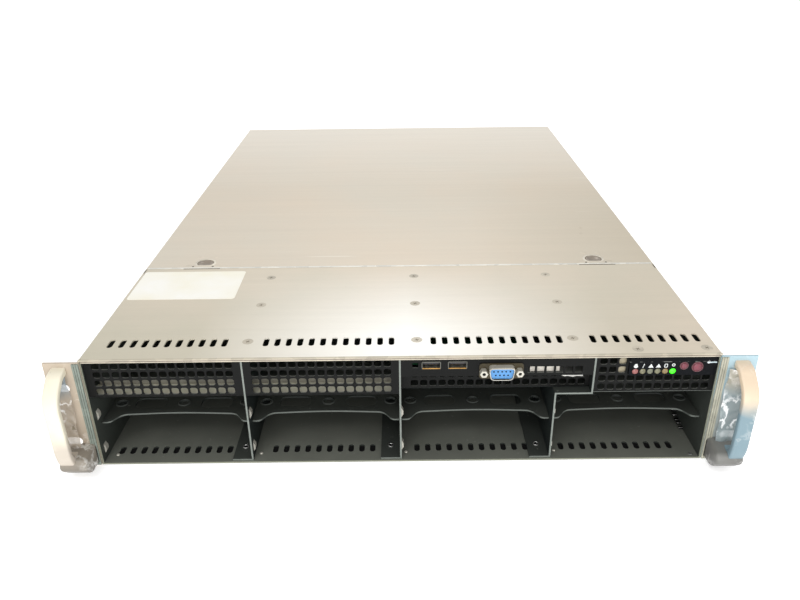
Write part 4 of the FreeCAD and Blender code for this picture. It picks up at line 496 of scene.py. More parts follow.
@dataclass(frozen=True)
class Gloss(Finish):
    """Glossy moulding under a slightly wrinkled clear cover, with painted reflections along its
    top.

    Attributes:
        streak_height: The height of the pale streak along the top, a painted reflection.
        streak_from: Where the streak starts, along X.
        edge_height: The height of the faint line above it, a painted reflection too.
    """

    streak_height: float = 81.3
    streak_from: float = 188.0
    edge_height: float = 82.0

    def surface(self, graph: Graph) -> dict:
        """Return what this finish sets or varies.

        Args:
            graph: The material's graph.

        Returns:
            The shader's inputs, by name.
        """
        x, z = graph.axis("X"), graph.axis("Z")
        wave = graph.noise(7.0, 1.0, (3.0, 1.0, 1.0))
        haze = graph.noise(4.0, 3.0)
        # a pale streak and a faint line above it: painted reflections in the clear cover
        bent = abs(z - self.streak_height - (wave - 0.5) * 3.0)
        broken = graph.noise(6.0, 1.0, (2.0, 1.0, 1.0), 2.0).above(0.5, 0.05)
        streak = bent.below(0.5, 0.3) * broken * x.above(self.streak_from, 3.0)
        line = abs(z - self.edge_height).below(0.35, 0.2) * haze.above(0.45, 0.15) * 0.5
        plain = graph.mix(haze.above(0.5, 0.5) * 0.3, self.colour, (38, 42, 46))
        lined = graph.mix(line, plain, (150, 152, 146))
        return {
            "Base Color": graph.mix(streak, lined, (208, 224, 230)),
            "Roughness": 0.14 + haze * 0.12,
            "Normal": graph.bump(wave, 0.15, 0.4),
            "Specular IOR Level": 0.08,
        }


@dataclass(frozen=True)
class Lamp(Finish):
    """A lens or cap that may be lit from inside.

    Attributes:
        light: How strongly it glows.
    """

    light: float = 0.0

    def surface(self, graph: Graph) -> dict:
        """Return what this finish sets or varies.

        Args:
            graph: The material's graph.

        Returns:
            The shader's inputs, by name.
        """
        cloud = graph.noise(1.6, 2.0)
        colour = graph.mix(cloud.above(0.35, 0.4), self.colour, self.toned(0.75))
        inputs = {"Base Color": colour, "Roughness": 0.25 + cloud * 0.15}
        inputs.update({"Coat Weight": 0.3, "Coat Roughness": 0.1})
        if self.light:
            inputs.update({"Emission Color": colour, "Emission Strength": self.light})
        return inputs


@dataclass(frozen=True)
class Board(Finish):
    """A circuit board: solder mask over faint tracks and pads."""

    def surface(self, graph: Graph) -> dict:
        """Return what this finish sets or varies.

        Args:
            graph: The material's graph.

        Returns:
            The shader's inputs, by name.
        """
        edge = graph.cells(4.0, "DISTANCE_TO_EDGE", (1.0, 3.0, 1.0))
        track = edge.below(0.06, 0.03)
        pad = graph.cells(5.5, "DISTANCE_TO_EDGE").above(0.44, 0.04)
        tracked = graph.mix(track * 0.7, self.colour, self.toned(1.5))
        return {
            "Base Color": graph.mix(pad, tracked, (190, 178, 130)),
            "Roughness": 0.35 + graph.noise(10.0) * 0.2,
            "Metallic": pad * 0.6,
            "Normal": graph.bump(track + pad, 0.05),
        }


@dataclass(frozen=True)
class Paper(Finish):
    """A blank sticker, yellowed towards its middle, with faint wrinkles."""

    def surface(self, graph: Graph) -> dict:
        """Return what this finish sets or varies.

        Args:
            graph: The material's graph.

        Returns:
            The shader's inputs, by name.
        """
        cloud = graph.noise(40.0, 3.0)
        fibre = graph.noise(0.6, 3.0)
        colour = graph.mix(cloud.above(0.3, 0.5) * 0.8, self.colour, (246, 240, 216))
        return {
            "Base Color": graph.shade(colour, 0.97 + fibre * 0.04),
            "Roughness": 0.45 + fibre * 0.15,
            "Normal": graph.bump(graph.noise(14.0, 3.0) + fibre * 0.1, 0.12, 0.5),
        }


@dataclass(frozen=True)
class Film(Finish):
    """Clear protective film, half peeled and wrinkled, with painted highlights along its creases
    and painted shade across its folds.

    Attributes:
        veil: How much of what is behind it the flat parts hide.
        upper: The colour of its upper part.
        level: The height at which the upper part starts.
    """

    veil: float = 0.25
    upper: Colour = (206, 204, 196)
    level: float = 66.0

    def surface(self, graph: Graph) -> dict:
        """Return what this finish sets or varies.

        Args:
            graph: The material's graph.

        Returns:
            The shader's inputs, by name.
        """
        fold = graph.noise(13.0, 4.0, (1.0, 1.0, 1.6))
        crease = fold.creases(22.0, graph.noise(24.0, 1.0, shift=6.0).above(0.46, 0.1))
        above = (graph.axis("Z") + fold * 14.0).above(self.level, 10.0)
        tone = graph.mix(above, self.colour, self.upper)
        # painted shade and light across the folds, then painted highlights along the creases
        shaded = graph.shade(tone, 0.84 + fold * 0.3)
        return {
            "Base Color": graph.mix(crease, shaded, (255, 255, 255)),
            "Alpha": (self.veil + crease * 0.6).clamped(),
            "Roughness": 0.2 + fold * 0.15,
            "Normal": graph.bump(fold, 1.0, 0.7),
        }


@dataclass(frozen=True)
class Backdrop(Finish):
    """The even, self-lit floor of the studio, on which only shadows show."""

    def surface(self, graph: Graph) -> dict:
        """Return what this finish sets or varies."""
        glow = {"Emission Color": WHITE, "Emission Strength": 0.45}
        return {"Base Color": WHITE, "Specular IOR Level": 0.0, **glow}


COVER_FRONT = CoverSteel("cover_steel_front", (211, 203, 184), 0.42, 0.12, glow=1.0, wear_and_lighting=0.25)
COVER_REAR = CoverSteel("cover_steel_rear", (219, 210, 193), 0.4, 0.12, glow=0.0, wear_and_lighting=1.0)
CAGE = DarkSheet("cage_sheet", (34, 39, 38), dust_and_light=(72, 75, 70), edge=(140, 146, 140))
FLOOR_SHEET = DarkSheet(
    "tray_sheet", (58, 62, 58),
    dust_and_light=(120, 122, 113), front=0.4, edge=(150, 152, 136), least_upward_share=0.5,
)
SHELF = DarkSheet(
    "shelf_sheet", (42, 46, 44),
    dust_and_light=(74, 77, 72), front=26.0, edge=(112, 117, 112), least_upward_share=0.5,
)
# Its paler upward faces, the lower edges of the holes, are a painted highlight.
PANEL = DarkSheet(
    "perforated_panel", (13, 14, 13),
    dust_and_light=(150, 152, 146), front=0.1, edge_share=0.0, least_upward_share=0.2,
)
HOUSING = DarkSheet("inner_sheet", (70, 74, 72), front=-50.0, edge_share=0.0)
STEEL = BrightSteel("bright_steel", (188, 188, 182), 0.35, 0.6)
# Its near-white upward faces are painted light, standing for light that falls on the return through
# the cover's vents.
FOLD = DarkSheet(
    "bare_fold", (24, 26, 25),
    dust_and_light=(236, 234, 214), front=0.1, edge_share=0.0, least_upward_share=0.7,
)
PLATED = BrightSteel("plated_hardware", (220, 217, 204), 0.3, 0.4)
YELLOW_PLATE = BrightSteel("yellow_plated_flange", (70, 62, 40), 0.4, 0.3)
STRIP_LEFT = BrightSteel("left_ear_steel", (140, 150, 140), 0.45)
STRIP_RIGHT = BrightSteel("right_ear_steel", (192, 190, 172), 0.45)
EAR_LEFT = EarPaint("left_ear_paint", (186, 172, 154), lower=(176, 162, 144))
# The right ear's bluish upper tone is partly the film's tint and partly a painted reflection.
EAR_RIGHT = EarPaint("right_ear_paint", (172, 198, 208), lower=(170, 178, 176), level=58.0)
HANDLE_LEFT = EarPaint(
    "left_handle_paint", (232, 225, 204), 0.42, lower=(200, 190, 176), level=40.0, crease_highlight=0.15
)
HANDLE_RIGHT = EarPaint(
    "right_handle_paint", (224, 204, 178), 0.4, lower=(124, 148, 158), level=60.0, crease_highlight=0.25
)
BLACK = Moulding("black_plastic", (22, 23, 24))
GREY_PLASTIC = Moulding("smoke_plastic", (58, 60, 62), 0.4)
BLUE = Moulding("port_blue", (5, 32, 96), 0.4)
GREEN_LEVER = Moulding("release_lever", (30, 120, 70), 0.4)
GLOSS = Gloss("gloss_panel", (12, 14, 17))
CIRCUIT = Board("circuit_board", (18, 74, 44))
FIN = BrightSteel("heat_sink", (176, 180, 184), 0.4, 0.9)
SHROUD = Moulding("air_shroud", (38, 40, 42), 0.35)
STICKER = Paper("blank_label", (253, 252, 246))
FILM_LEFT = Film("left_film", (172, 160, 144), veil=0.8, upper=(126, 138, 144), level=68.0)
FILM_RIGHT = Film("right_film", (142, 154, 156), veil=0.86, upper=(164, 158, 142), level=66.0)
SCREW = BrightSteel("screw_head", (214, 204, 184), 0.35)
# Darker than the cover, partly painted shade in the buttons' dish.
CAP = BrightSteel("release_cap", (156, 143, 128), 0.35, 0.2)
# A painted highlight along the rear cover's front edge.
SEAM = BrightSteel("bright_seam", (252, 250, 240), 0.4)
USB_STEEL = BrightSteel("usb_steel", (112, 112, 104), 0.3, 0.3)
LIP_SHADE = BrightSteel("front_lip_steel", (212, 203, 182), 0.45)
FLAKE = BrightSteel("bare_flake", (240, 240, 234), 0.4, 0.1)
# Pale patches behind some holes: painted light, standing for lit surfaces seen through them.
VENT_LIGHT_PATCH = BrightSteel("pale_backing", (228, 222, 210), 0.6)
HOLE_LIGHT_PATCH = BrightSteel("beige_backing", (176, 166, 140), 0.6)
# A pale hem behind the lit returns: painted light seen through the perforations.
PANEL_HEM = BrightSteel("panel_hem", (150, 147, 134), 0.6)
SHADE = Moulding("shade", (14, 14, 14), 0.9)
# Painted shade: the cover screws' cross recesses and the hole in the left ear seen through its
# film.
SOFT_MARK = BrightSteel("soft_mark", (134, 124, 104), 0.5)
WHITE_MARK = Lamp("printed_symbol", (226, 230, 228))
ROSE = Lamp("red_button", (126, 50, 66))
PINK = Lamp("dim_red_lens", (156, 92, 88))
OLIVE = Lamp("dim_lens", (122, 118, 88))
OLIVE_GREEN = Lamp("dim_lens_two", (116, 118, 98))
OLIVE_PALE = Lamp("dim_lens_three", (122, 120, 92))
AMBER = Lamp("dim_amber_lens", (140, 118, 74))
GREEN = Lamp("lit_green_lens", (60, 255, 20), light=1.2)
GOLD = BrightSteel("contact", (196, 150, 84), 0.3, 0.9)
# Dark painted shade for slits, dimples, screw wells, bores and socket holes; the small tabs at the
# foot of the right wall take it too.
CAVITY = Moulding("dark_cavity", (8, 9, 9), 0.7)
# Paler than the cover: a painted highlight on the rings round the release buttons.
LIP = BrightSteel("rolled_edge", (236, 228, 210), 0.35, 0.1)
HEM = BrightSteel("folded_hem", (104, 84, 80), 0.6, 0.1)
# The hole rims are paler than the shelf, most on their upper faces: a painted highlight along the
# raised rims.
SHELF_RIM = DarkSheet(
    "worn_rim", (50, 54, 52), 0.45, dust_and_light=(92, 96, 92), front=0.1, edge_share=0.0, least_upward_share=0.5
)
PINK_EDGE = Lamp("moulded_collar", (120, 70, 76))
# Both feet are darker below a height: painted shade on their lower parts.
FOOT_LEFT = EarPaint("left_foot", (142, 134, 122), 0.4, lower=(88, 82, 74), level=11.0, crease_highlight=0.6)
FOOT_RIGHT = EarPaint(
    "right_foot", (122, 122, 118), 0.4, lower=(80, 76, 76), level=10.0, crease_highlight=0.3
)
FLOOR = Backdrop("studio_floor", (255, 255, 255), 0.9)


# --- stock, cut and turned ---


class Axis(Enum):
    """A direction of the frame, with the turn that stands a shape made along Z on it."""

    X = Matrix(((0, 0, 1, 0), (1, 0, 0, 0), (0, 1, 0, 0), (0, 0, 0, 1)))
    Y = Matrix(((1, 0, 0, 0), (0, 0, 1, 0), (0, 1, 0, 0), (0, 0, 0, 1)))
    Z = Matrix.Identity(4)


@dataclass(frozen=True)
class Span:
    """A box in millimetres.

    Attributes:
        low: Its lowest corner.
        high: Its highest corner.
    """

    low: Vector
    high: Vector

    @property
    def middle(self) -> Vector:
        """Return the box's centre."""
        return (self.low + self.high) / 2


def span(*nodes: str) -> Span:
    """Return the box around CAD nodes.

    Args:
        nodes: The nodes' names.

    Returns:
        The box, in millimetres.
    """
    corners = [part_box(node) for node in nodes]
    low = Vector([min(low[axis] for low, _ in corners) for axis in range(3)]) / MILLIMETRE
    high = Vector([max(high[axis] for _, high in corners) for axis in range(3)]) / MILLIMETRE
    return Span(low, high)


def arc(centre: Point, radius: float, start: float, end: float, steps: int = 6) -> Outline:
    """Return points along an arc, by its angles in degrees."""
    angles = [math.radians(start + (end - start) * step / steps) for step in range(steps + 1)]
    return [
        (centre[0] + radius * math.cos(angle), centre[1] + radius * math.sin(angle))
        for angle in angles
    ]


def rounded(low: Point, high: Point, radius: float, steps: int = 4) -> Outline:
    """Return a rectangle with rounded corners.

    Args:
        low: Its lowest corner.
        high: Its highest corner.
        radius: The radius of its corners.
        steps: How many segments stand for a corner.

    Returns:
        The outline.
    """
    (x0, y0), (x1, y1), r = low, high, radius
    centres = ((x1 - r, y0 + r), (x1 - r, y1 - r), (x0 + r, y1 - r), (x0 + r, y0 + r))
    corners = zip(centres, (-90, 0, 90, 180))
    return [spot for centre, start in corners for spot in arc(centre, r, start, start + 90, steps)]


def ring(centre: Point, radius: float, sides: int = 24) -> Outline:
    """Return a circle's points."""
    return arc(centre, radius, 0.0, 360.0 - 360.0 / sides, sides - 1)


class Stock:
    """A mesh in millimetres that is built up before it becomes a piece."""

    def __init__(self) -> None:
        """Start with nothing."""
        self.mesh = bmesh.new()

    def block(self, low: Sequence[float], high: Sequence[float], bevel: float = 0.0) -> "Stock":
        """Add a block.

        Args:
            low: Its lowest corner.
            high: Its highest corner.
            bevel: How far its edges are eased.

        Returns:
            This stock.
        """
        corners = bmesh.ops.create_cube(self.mesh, size=1.0)["verts"]
        size, middle = Vector(high) - Vector(low), (Vector(high) + Vector(low)) / 2
        stretch = Matrix.Translation(middle) @ Matrix.Diagonal((*size, 1.0))
        bmesh.ops.transform(self.mesh, matrix=stretch, verts=corners)
        if bevel:
            self.ease(list({edge for corner in corners for edge in corner.link_edges}), bevel, 2)
        return self

    def ease(self, edges: list[bmesh.types.BMEdge], reach: float, segments: int) -> None:
        """Bevel edges by a reach, in a number of segments."""
        options = {"segments": segments, "affect": "EDGES", "profile": 0.5}
        bmesh.ops.bevel(self.mesh, geom=edges, offset=reach, **options)

    def turned(
        self,
        profile: Sequence[Point],
        centre: Sequence[float] = (0.0, 0.0, 0.0),
        axis: Axis = Axis.Z,
        sides: int = 32,
        capped: bool = True,
    ) -> "Stock":
        """Add a turned shape.

        Args:
            profile: Its (radius, height) points, from one end to the other.
            centre: Where its height is zero.
            axis: The axis that it stands on.
            sides: How many sides stand for a circle.
            capped: Whether its open ends are closed.

        Returns:
            This stock.
        """
        turn = Matrix.Translation(Vector(centre)) @ axis.value
        rings = []
        for radius, height in profile:
            spots = ring((0.0, 0.0), radius, sides) if radius > 1e-6 else [(0.0, 0.0)]
            rings.append([self.mesh.verts.new(turn @ Vector((x, y, height))) for x, y in spots])
        for lower, upper in zip(rings, rings[1:]):
            for side in range(sides):
                after = (side + 1) % sides
                corners = [lower[turn % len(lower)] for turn in (side, after)]
                corners += [upper[turn % len(upper)] for turn in (after, side)]
                distinct = list(dict.fromkeys(corners))
                if len(distinct) > 2:
                    self.mesh.faces.new(distinct)
        for end in (rings[0], rings[-1]) if capped else ():
            if len(end) > 2:
                self.mesh.faces.new(end)
        return self

    def plate(
        self,
        outlines: Sequence[Outline],
        low: float,
        high: float,
        axis: Axis = Axis.Z,
        bevel: float = 0.0,
    ) -> "Stock":
        """Add a plate: one outline and any holes in it, raised along an axis.

        Args:
            outlines: The outer loop, then the holes.
            low: Where the plate starts along the axis.
            high: Where it ends.
            axis: The axis; the outline's two coordinates are the other two, in order.
            bevel: How far the rims of both faces are eased; only for a plate with no holes.

        Returns:
            This stock.
        """
        edges = []
        for outline in outlines:
            spots = [self.mesh.verts.new(axis.value @ Vector((x, y, low))) for x, y in outline]
            if len(outlines) == 1:
                faces = [self.mesh.faces.new(spots)]
            else:
                edges += [self.mesh.edges.new(pair) for pair in zip(spots, spots[1:] + spots[:1])]
        if edges:
            filled = bmesh.ops.triangle_fill(self.mesh, use_beauty=True, edges=edges)
            faces = [item for item in filled["geom"] if isinstance(item, bmesh.types.BMFace)]
        base = set(faces)
        raised = bmesh.ops.extrude_face_region(self.mesh, geom=faces, use_keep_orig=True)["geom"]
        lift = axis.value @ Vector((0, 0, high - low, 0))
        moved = [item for item in raised if isinstance(item, bmesh.types.BMVert)]
        bmesh.ops.translate(self.mesh, vec=lift.to_3d(), verts=moved)
        if bevel:
            lifted = {item for item in raised if isinstance(item, bmesh.types.BMFace)}
            caps = base | {face for face in lifted if len(face.verts) > 4}
            self.ease(list({edge for face in caps for edge in face.edges}), bevel, 3)
        return self

    def sweep(self, path: Sequence[Place], radius: float, sides: int = 10) -> "Stock":
        """Add a round bar along a path of straight runs.

        Args:
            path: The path's corners.
            radius: The bar's radius.
            sides: How many sides stand for its circle.

        Returns:
            This stock.
        """
        spots = [Vector(place) for place in path]
        rings = []
        for number, spot in enumerate(spots):
            before, after = spots[max(number - 1, 0)], spots[min(number + 1, len(spots) - 1)]
            turn = (after - before).normalized().to_track_quat("Z", "Y")
            points = [Vector((x, y, 0)) for x, y in ring((0, 0), radius, sides)]
            rings.append([self.mesh.verts.new(spot + turn @ point) for point in points])
        for lower, upper in zip(rings, rings[1:]):
            for side in range(sides):
                after = (side + 1) % sides
                self.mesh.faces.new((lower[side], lower[after], upper[after], upper[side]))
        self.mesh.faces.new(rings[0])
        self.mesh.faces.new(rings[-1])
        return self

    def curtain(
        self, place: Callable[[float, float], Place], columns: int, rows: int, thickness: float
    ) -> "Stock":
        """Add a thin, waved sheet.

        Args:
            place: Where the sheet's point at two shares from 0 to 1 goes.
            columns: How many fields it has across.
            rows: How many it has upwards.
            thickness: Its thickness.

        Returns:
            This stock.
        """
        net = [
            [self.mesh.verts.new(place(step / columns, row / rows)) for step in range(columns + 1)]
            for row in range(rows + 1)
        ]
        faces = [
            self.mesh.faces.new((*lower[step : step + 2], *reversed(upper[step : step + 2])))
            for lower, upper in zip(net, net[1:])
            for step in range(columns)
        ]
        bmesh.ops.solidify(self.mesh, geom=faces, thickness=thickness)
        return self

    def data(self, name: str) -> bpy.types.Mesh:
        """Return the mesh as made.

        Args:
            name: The mesh's name.

        Returns:
            The mesh, in millimetres.
        """
        mesh = bpy.data.meshes.new(name)
        self.mesh.to_mesh(mesh)
        self.mesh.free()
        return mesh

    def piece(self, name: str, finish: Finish, crease: float = 35.0) -> bpy.types.Object:
        """Return the stock as a piece in the scene.

        Args:
            name: The piece's name.
            finish: Its finish.
            crease: The angle above which an edge stays sharp, in degrees.

        Returns:
            The new object, in metres, with its faces outwards.
        """
        return finished(name, self.data(name), finish, crease)


def finished(
    name: str,
    mesh: bpy.types.Mesh,
    finish: Finish,
    crease: float = 35.0,
    place: Matrix | None = None,
) -> bpy.types.Object:
    """Make a piece of a mesh in millimetres.

    Args:
        name: The piece's name.
        mesh: Its mesh.
        finish: Its finish.
        crease: The angle above which an edge stays sharp, in degrees.
        place: A move to apply first, in millimetres.

    Returns:
        The new object, in metres, with its faces outwards.
    """
    work = bmesh.new()
    work.from_mesh(mesh)
    bmesh.ops.remove_doubles(work, verts=work.verts, dist=1e-4)
    move = Matrix.Scale(MILLIMETRE, 4) @ (place or Matrix.Identity(4))
    bmesh.ops.transform(work, matrix=move, verts=work.verts)
    bmesh.ops.recalc_face_normals(work, faces=work.faces)
    work.to_mesh(mesh)
    work.free()
    mesh.materials.clear()
    mesh.materials.append(finish.material())
    mesh.polygons.foreach_set("use_smooth", [True] * len(mesh.polygons))
    mesh.set_sharp_from_angle(angle=math.radians(crease))
    mesh.update()
    thing = bpy.data.objects.new(name, mesh)
    bpy.context.scene.collection.objects.link(thing)
    return thing


def hang(piece: bpy.types.Object, slot: str, *replaced: str, body: str = "chassis") -> None:
    """Fix a piece to a CAD body and hide the nodes that it stands for.

    Args:
        piece: The piece.
        slot: The name of a material slot; not used.
        replaced: CAD nodes that it replaces.
        body: The body that it moves with.
    """
    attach(piece, body)
    if replaced:
        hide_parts(*replaced)
    LOG.info("%s: %d faces on %s", piece.name, len(piece.data.polygons), body)


def mount(
    stock: Stock,
    name: str,
    finish: Finish,
    slot: str,
    *replaced: str,
    body: str = "chassis",
    crease: float = 35.0,
) -> None:
    """Turn stock into a piece and hang it."""
    hang(stock.piece(name, finish, crease), slot, *replaced, body=body)


# --- repeated work by geometry nodes ---


class Punch(Enum):
    """What a point of a sheet's pattern stands for."""

    OUTLINE = 0
    SLOT = 1
    HOLE = 2


@dataclass(frozen=True)
class Tool:
    """The size of a punch.

    Attributes:
        width: Its width.
        height: Its height.
        corner: The radius of its corners.
    """

    width: float = 1.0
    height: float = 1.0
    corner: float = 0.4


def round_punch(radius: float) -> Tool:
    """Return a punch for round holes."""
    return Tool(2 * radius, 2 * radius, radius - 0.01)


class NodeTool:
    """A geometry node tree with named inputs, used as a modifier and then applied."""

    def __init__(self, name: str) -> None:
        """Start a tree with one geometry in and one out.

        Args:
            name: The tree's name.
        """
        self.tree = bpy.data.node_groups.new(name, "GeometryNodeTree")
        self.graph = Graph(self.tree)
        self.identifiers: dict[str, str] = {}
        self.socket("Geometry", "NodeSocketGeometry")
        result = {"in_out": "OUTPUT", "socket_type": "NodeSocketGeometry"}
        self.tree.interface.new_socket("Geometry", **result)
        self.build()

    def socket(self, name: str, kind: str) -> None:
        """Add a named input."""
        made = self.tree.interface.new_socket(name, in_out="INPUT", socket_type=kind)
        self.identifiers[name] = made.identifier

    def build(self) -> None:
        """Add the inputs and the nodes."""
        raise NotImplementedError

    def given(self, name: str) -> Signal:
        """Return a named input inside the tree."""
        return self.graph.node("NodeGroupInput", out=name)

    def joined(self, parts: Sequence[Signal]) -> Signal:
        """Join geometries.

        Args:
            parts: The geometries.

        Returns:
            All of them as one.
        """
        join = self.tree.nodes.new("GeometryNodeJoinGeometry")
        for part in parts:
            self.tree.links.new(part.socket, join.inputs[0])
        return Signal(self.graph, join.outputs[0])

    def close(self, geometry: Signal) -> None:
        """Realise, dress and hand out a geometry.

        Args:
            geometry: The geometry.
        """
        plain = self.graph.node("GeometryNodeRealizeInstances", inputs={"Geometry": geometry})
        inputs = {"Geometry": plain, "Material": self.given("Finish")}
        dressed = self.graph.node("GeometryNodeSetMaterial", inputs=inputs)
        self.graph.node("NodeGroupOutput", inputs={0: dressed})

    def apply(self, pattern: bpy.types.Mesh, values: dict) -> bpy.types.Mesh:
        """Run the tree on a pattern.

        Args:
            pattern: The mesh whose points and edges the tree reads.
            values: The inputs by name.

        Returns:
            The result as a plain mesh, in millimetres.
        """
        holder = bpy.data.objects.new("pattern", pattern)
        bpy.context.scene.collection.objects.link(holder)
        modifier = holder.modifiers.new("work", "NODES")
        modifier.node_group = self.tree
        for name, given in values.items():
            modifier[self.identifiers[name]] = given
        holder.update_tag()
        bpy.context.view_layer.update()
        ready = holder.evaluated_get(bpy.context.evaluated_depsgraph_get())
        mesh = bpy.data.meshes.new_from_object(ready)
        holder.modifiers.clear()
        bpy.data.objects.remove(holder)
        return mesh


class SheetPress(NodeTool):
    """Fills an outline, less a slot or a hole at each marked point, and gives it its thickness."""

    def build(self) -> None:
        """Add the inputs and the nodes."""
        self.socket("Thickness", "NodeSocketFloat")
        for kind in ("Slot", "Hole"):
            for side in ("Width", "Height", "Corner"):
                self.socket(f"{kind} {side}", "NodeSocketFloat")
        self.socket("Finish", "NodeSocketMaterial")
        graph = self.graph
        pattern = self.given("Geometry")
        loops = [graph.node("GeometryNodeMeshToCurve", inputs={"Mesh": pattern})]
        whole = {"data_type": "INT"}
        mark = graph.node("GeometryNodeInputNamedAttribute", whole, {"Name": "punch"})
        for kind, punch in (("Slot", Punch.SLOT), ("Hole", Punch.HOLE)):
            inputs = {"Width": self.given(f"{kind} Width"), "Height": self.given(f"{kind} Height")}
            blank = graph.node("GeometryNodeCurvePrimitiveQuadrilateral", inputs=inputs)
            inputs = {"Curve": blank, "Count": 4, "Radius": self.given(f"{kind} Corner")}
            inputs["Limit Radius"] = True
            cutter = graph.node("GeometryNodeFilletCurve", {"mode": "POLY"}, inputs)
            settings = {**whole, "operation": "EQUAL"}
            chosen = graph.node("FunctionNodeCompare", settings, {2: mark, 3: punch.value})
            inputs = {"Points": pattern, "Selection": chosen, "Instance": cutter}
            placed = graph.node("GeometryNodeInstanceOnPoints", inputs=inputs)
            loops.append(graph.node("GeometryNodeRealizeInstances", inputs={"Geometry": placed}))
        face = graph.node("GeometryNodeFillCurve", inputs={"Curve": self.joined(loops)})
        raised = graph.node(
            "GeometryNodeExtrudeMesh",
            {"mode": "FACES"},
            {"Mesh": face, "Offset Scale": self.given("Thickness"), "Individual": False},
        )
        under = graph.node("GeometryNodeFlipFaces", inputs={"Mesh": face})
        inputs = {"Geometry": self.joined((raised, under)), "Distance": 0.001}
        self.close(graph.node("GeometryNodeMergeByDistance", inputs=inputs))


class Scatter(NodeTool):
    """Sets a copy of a template on each point, each turned a little differently."""

    def build(self) -> None:
        """Add the inputs and the nodes."""
        self.socket("Template", "NodeSocketObject")
        self.socket("Spin", "NodeSocketFloat")
        self.socket("Seed", "NodeSocketInt")
        self.socket("Finish", "NodeSocketMaterial")
        graph = self.graph
        template = {"Object": self.given("Template")}
        shape = graph.node("GeometryNodeObjectInfo", inputs=template, out="Geometry")
        inputs = {2: 0.0, 3: self.given("Spin"), 8: self.given("Seed")}
        angle = graph.node("FunctionNodeRandomValue", {"data_type": "FLOAT"}, inputs, 1)
        turn = graph.node("ShaderNodeCombineXYZ", inputs={2: angle})
        inputs = {"Points": self.given("Geometry"), "Instance": shape, "Rotation": turn}
        self.close(graph.node("GeometryNodeInstanceOnPoints", inputs=inputs))


def pattern(
    loops: Sequence[Outline], slots: Iterable[Point] = (), holes: Iterable[Point] = ()
) -> bpy.types.Mesh:
    """Return a flat pattern.

    Args:
        loops: Its closed outlines.
        slots: Where the first punch goes.
        holes: Where the second punch goes.

    Returns:
        The pattern as a mesh of edges and marked points.
    """
    work = bmesh.new()
    mark = work.verts.layers.int.new("punch")
    for loop in loops:
        spots = [work.verts.new((x, y, 0.0)) for x, y in loop]
        for spot in spots:
            spot[mark] = Punch.OUTLINE.value
        for pair in zip(spots, spots[1:] + spots[:1]):
            work.edges.new(pair)
    for punch, points in ((Punch.SLOT, slots), (Punch.HOLE, holes)):
        for x, y in points:
            work.verts.new((x, y, 0.0))[mark] = punch.value
    mesh = bpy.data.meshes.new("pattern")
    work.to_mesh(mesh)
    work.free()
    return mesh


@dataclass
class Workshop:
    """The two node tools, made once."""

    press: SheetPress = field(default_factory=lambda: SheetPress("sheet_press"))
    scatter: Scatter = field(default_factory=lambda: Scatter("scatter"))

    def sheet(
        self,
        name: str,
        finish: Finish,
        marks: bpy.types.Mesh,
        thickness: float,
        place: Matrix,
        slot: Tool = Tool(),
        hole: Tool = Tool(),
    ) -> bpy.types.Object:
        """Press a sheet.

        Args:
            name: The piece's name.
            finish: Its finish.
            marks: Its pattern.
            thickness: The sheet's thickness.
            place: Where the pattern's plane goes; the sheet grows along its third axis.
            slot: The first punch.
            hole: The second punch.

        Returns:
            The piece.
        """
        values: dict = {"Thickness": thickness, "Finish": finish.material()}
        for kind, tool in (("Slot", slot), ("Hole", hole)):
            sizes = {"Width": tool.width, "Height": tool.height, "Corner": tool.corner}
            values.update({f"{kind} {side}": size for side, size in sizes.items()})
        return finished(name, self.press.apply(marks, values), finish, 30.0, place)

    def copies(
        self,
        name: str,
        finish: Finish,
        template: Stock,
        points: Sequence[Place],
        place: Matrix,
        spin: float = 0.0,
        seed: int = 1,
    ) -> bpy.types.Object:
        """Set copies of a template on points.

        Args:
            name: The piece's name.
            finish: Its finish.
            template: The shape, standing on Z at the origin.
            points: Where the copies go, in the template's own axes.
            place: The move from those axes to the frame.
            spin: The most that a copy is turned about Z, in radians.
            seed: The seed of the turns.

        Returns:
            One piece that holds every copy.
        """
        model = bpy.data.objects.new("template", template.data("template"))
        cloud = bpy.data.meshes.new("points")
        cloud.from_pydata([Vector(point) for point in points], [], [])
        values = {"Template": model, "Spin": spin, "Seed": seed, "Finish": finish.material()}
        mesh = self.scatter.apply(cloud, values)
        bpy.data.objects.remove(model)
        return finished(name, mesh, finish, 35.0, place)


def standing(y: float) -> Matrix:
    """Return the place of a pattern drawn in X and Z on the plane at y, growing to the rear."""
    return Matrix.Translation((0, y, 0)) @ Axis.Y.value


def lying(z: float) -> Matrix:
    """Return the place of a pattern drawn in X and Y on the plane at z, growing upwards."""
    return Matrix.Translation((0, 0, z))


def eased(corners: Sequence[Place], steps: int = 6) -> Outline:
    """Return a closed outline whose corners are rounded.

    Args:
        corners: Each corner's place and the radius of its rounding; 0 keeps it sharp.
        steps: How many segments stand for a rounding.

    Returns:
        The outline.
    """
    points: Outline = []
    for number, (x, y, radius) in enumerate(corners):
        corner = Vector((x, y))
        before = Vector(corners[number - 1][:2]) - corner
        after = Vector(corners[(number + 1) % len(corners)][:2]) - corner
        if not radius:
            points.append((x, y))
            continue
        half = before.angle(after) / 2
        back = min(radius / math.tan(half), before.length * 0.49, after.length * 0.49)
        start, end = corner + before.normalized() * back, corner + after.normalized() * back
        for step in range(steps + 1):
            share = step / steps
            spot = start * (1 - share) ** 2 + corner * (2 * share * (1 - share)) + end * share**2
            points.append((spot.x, spot.y))
    return points


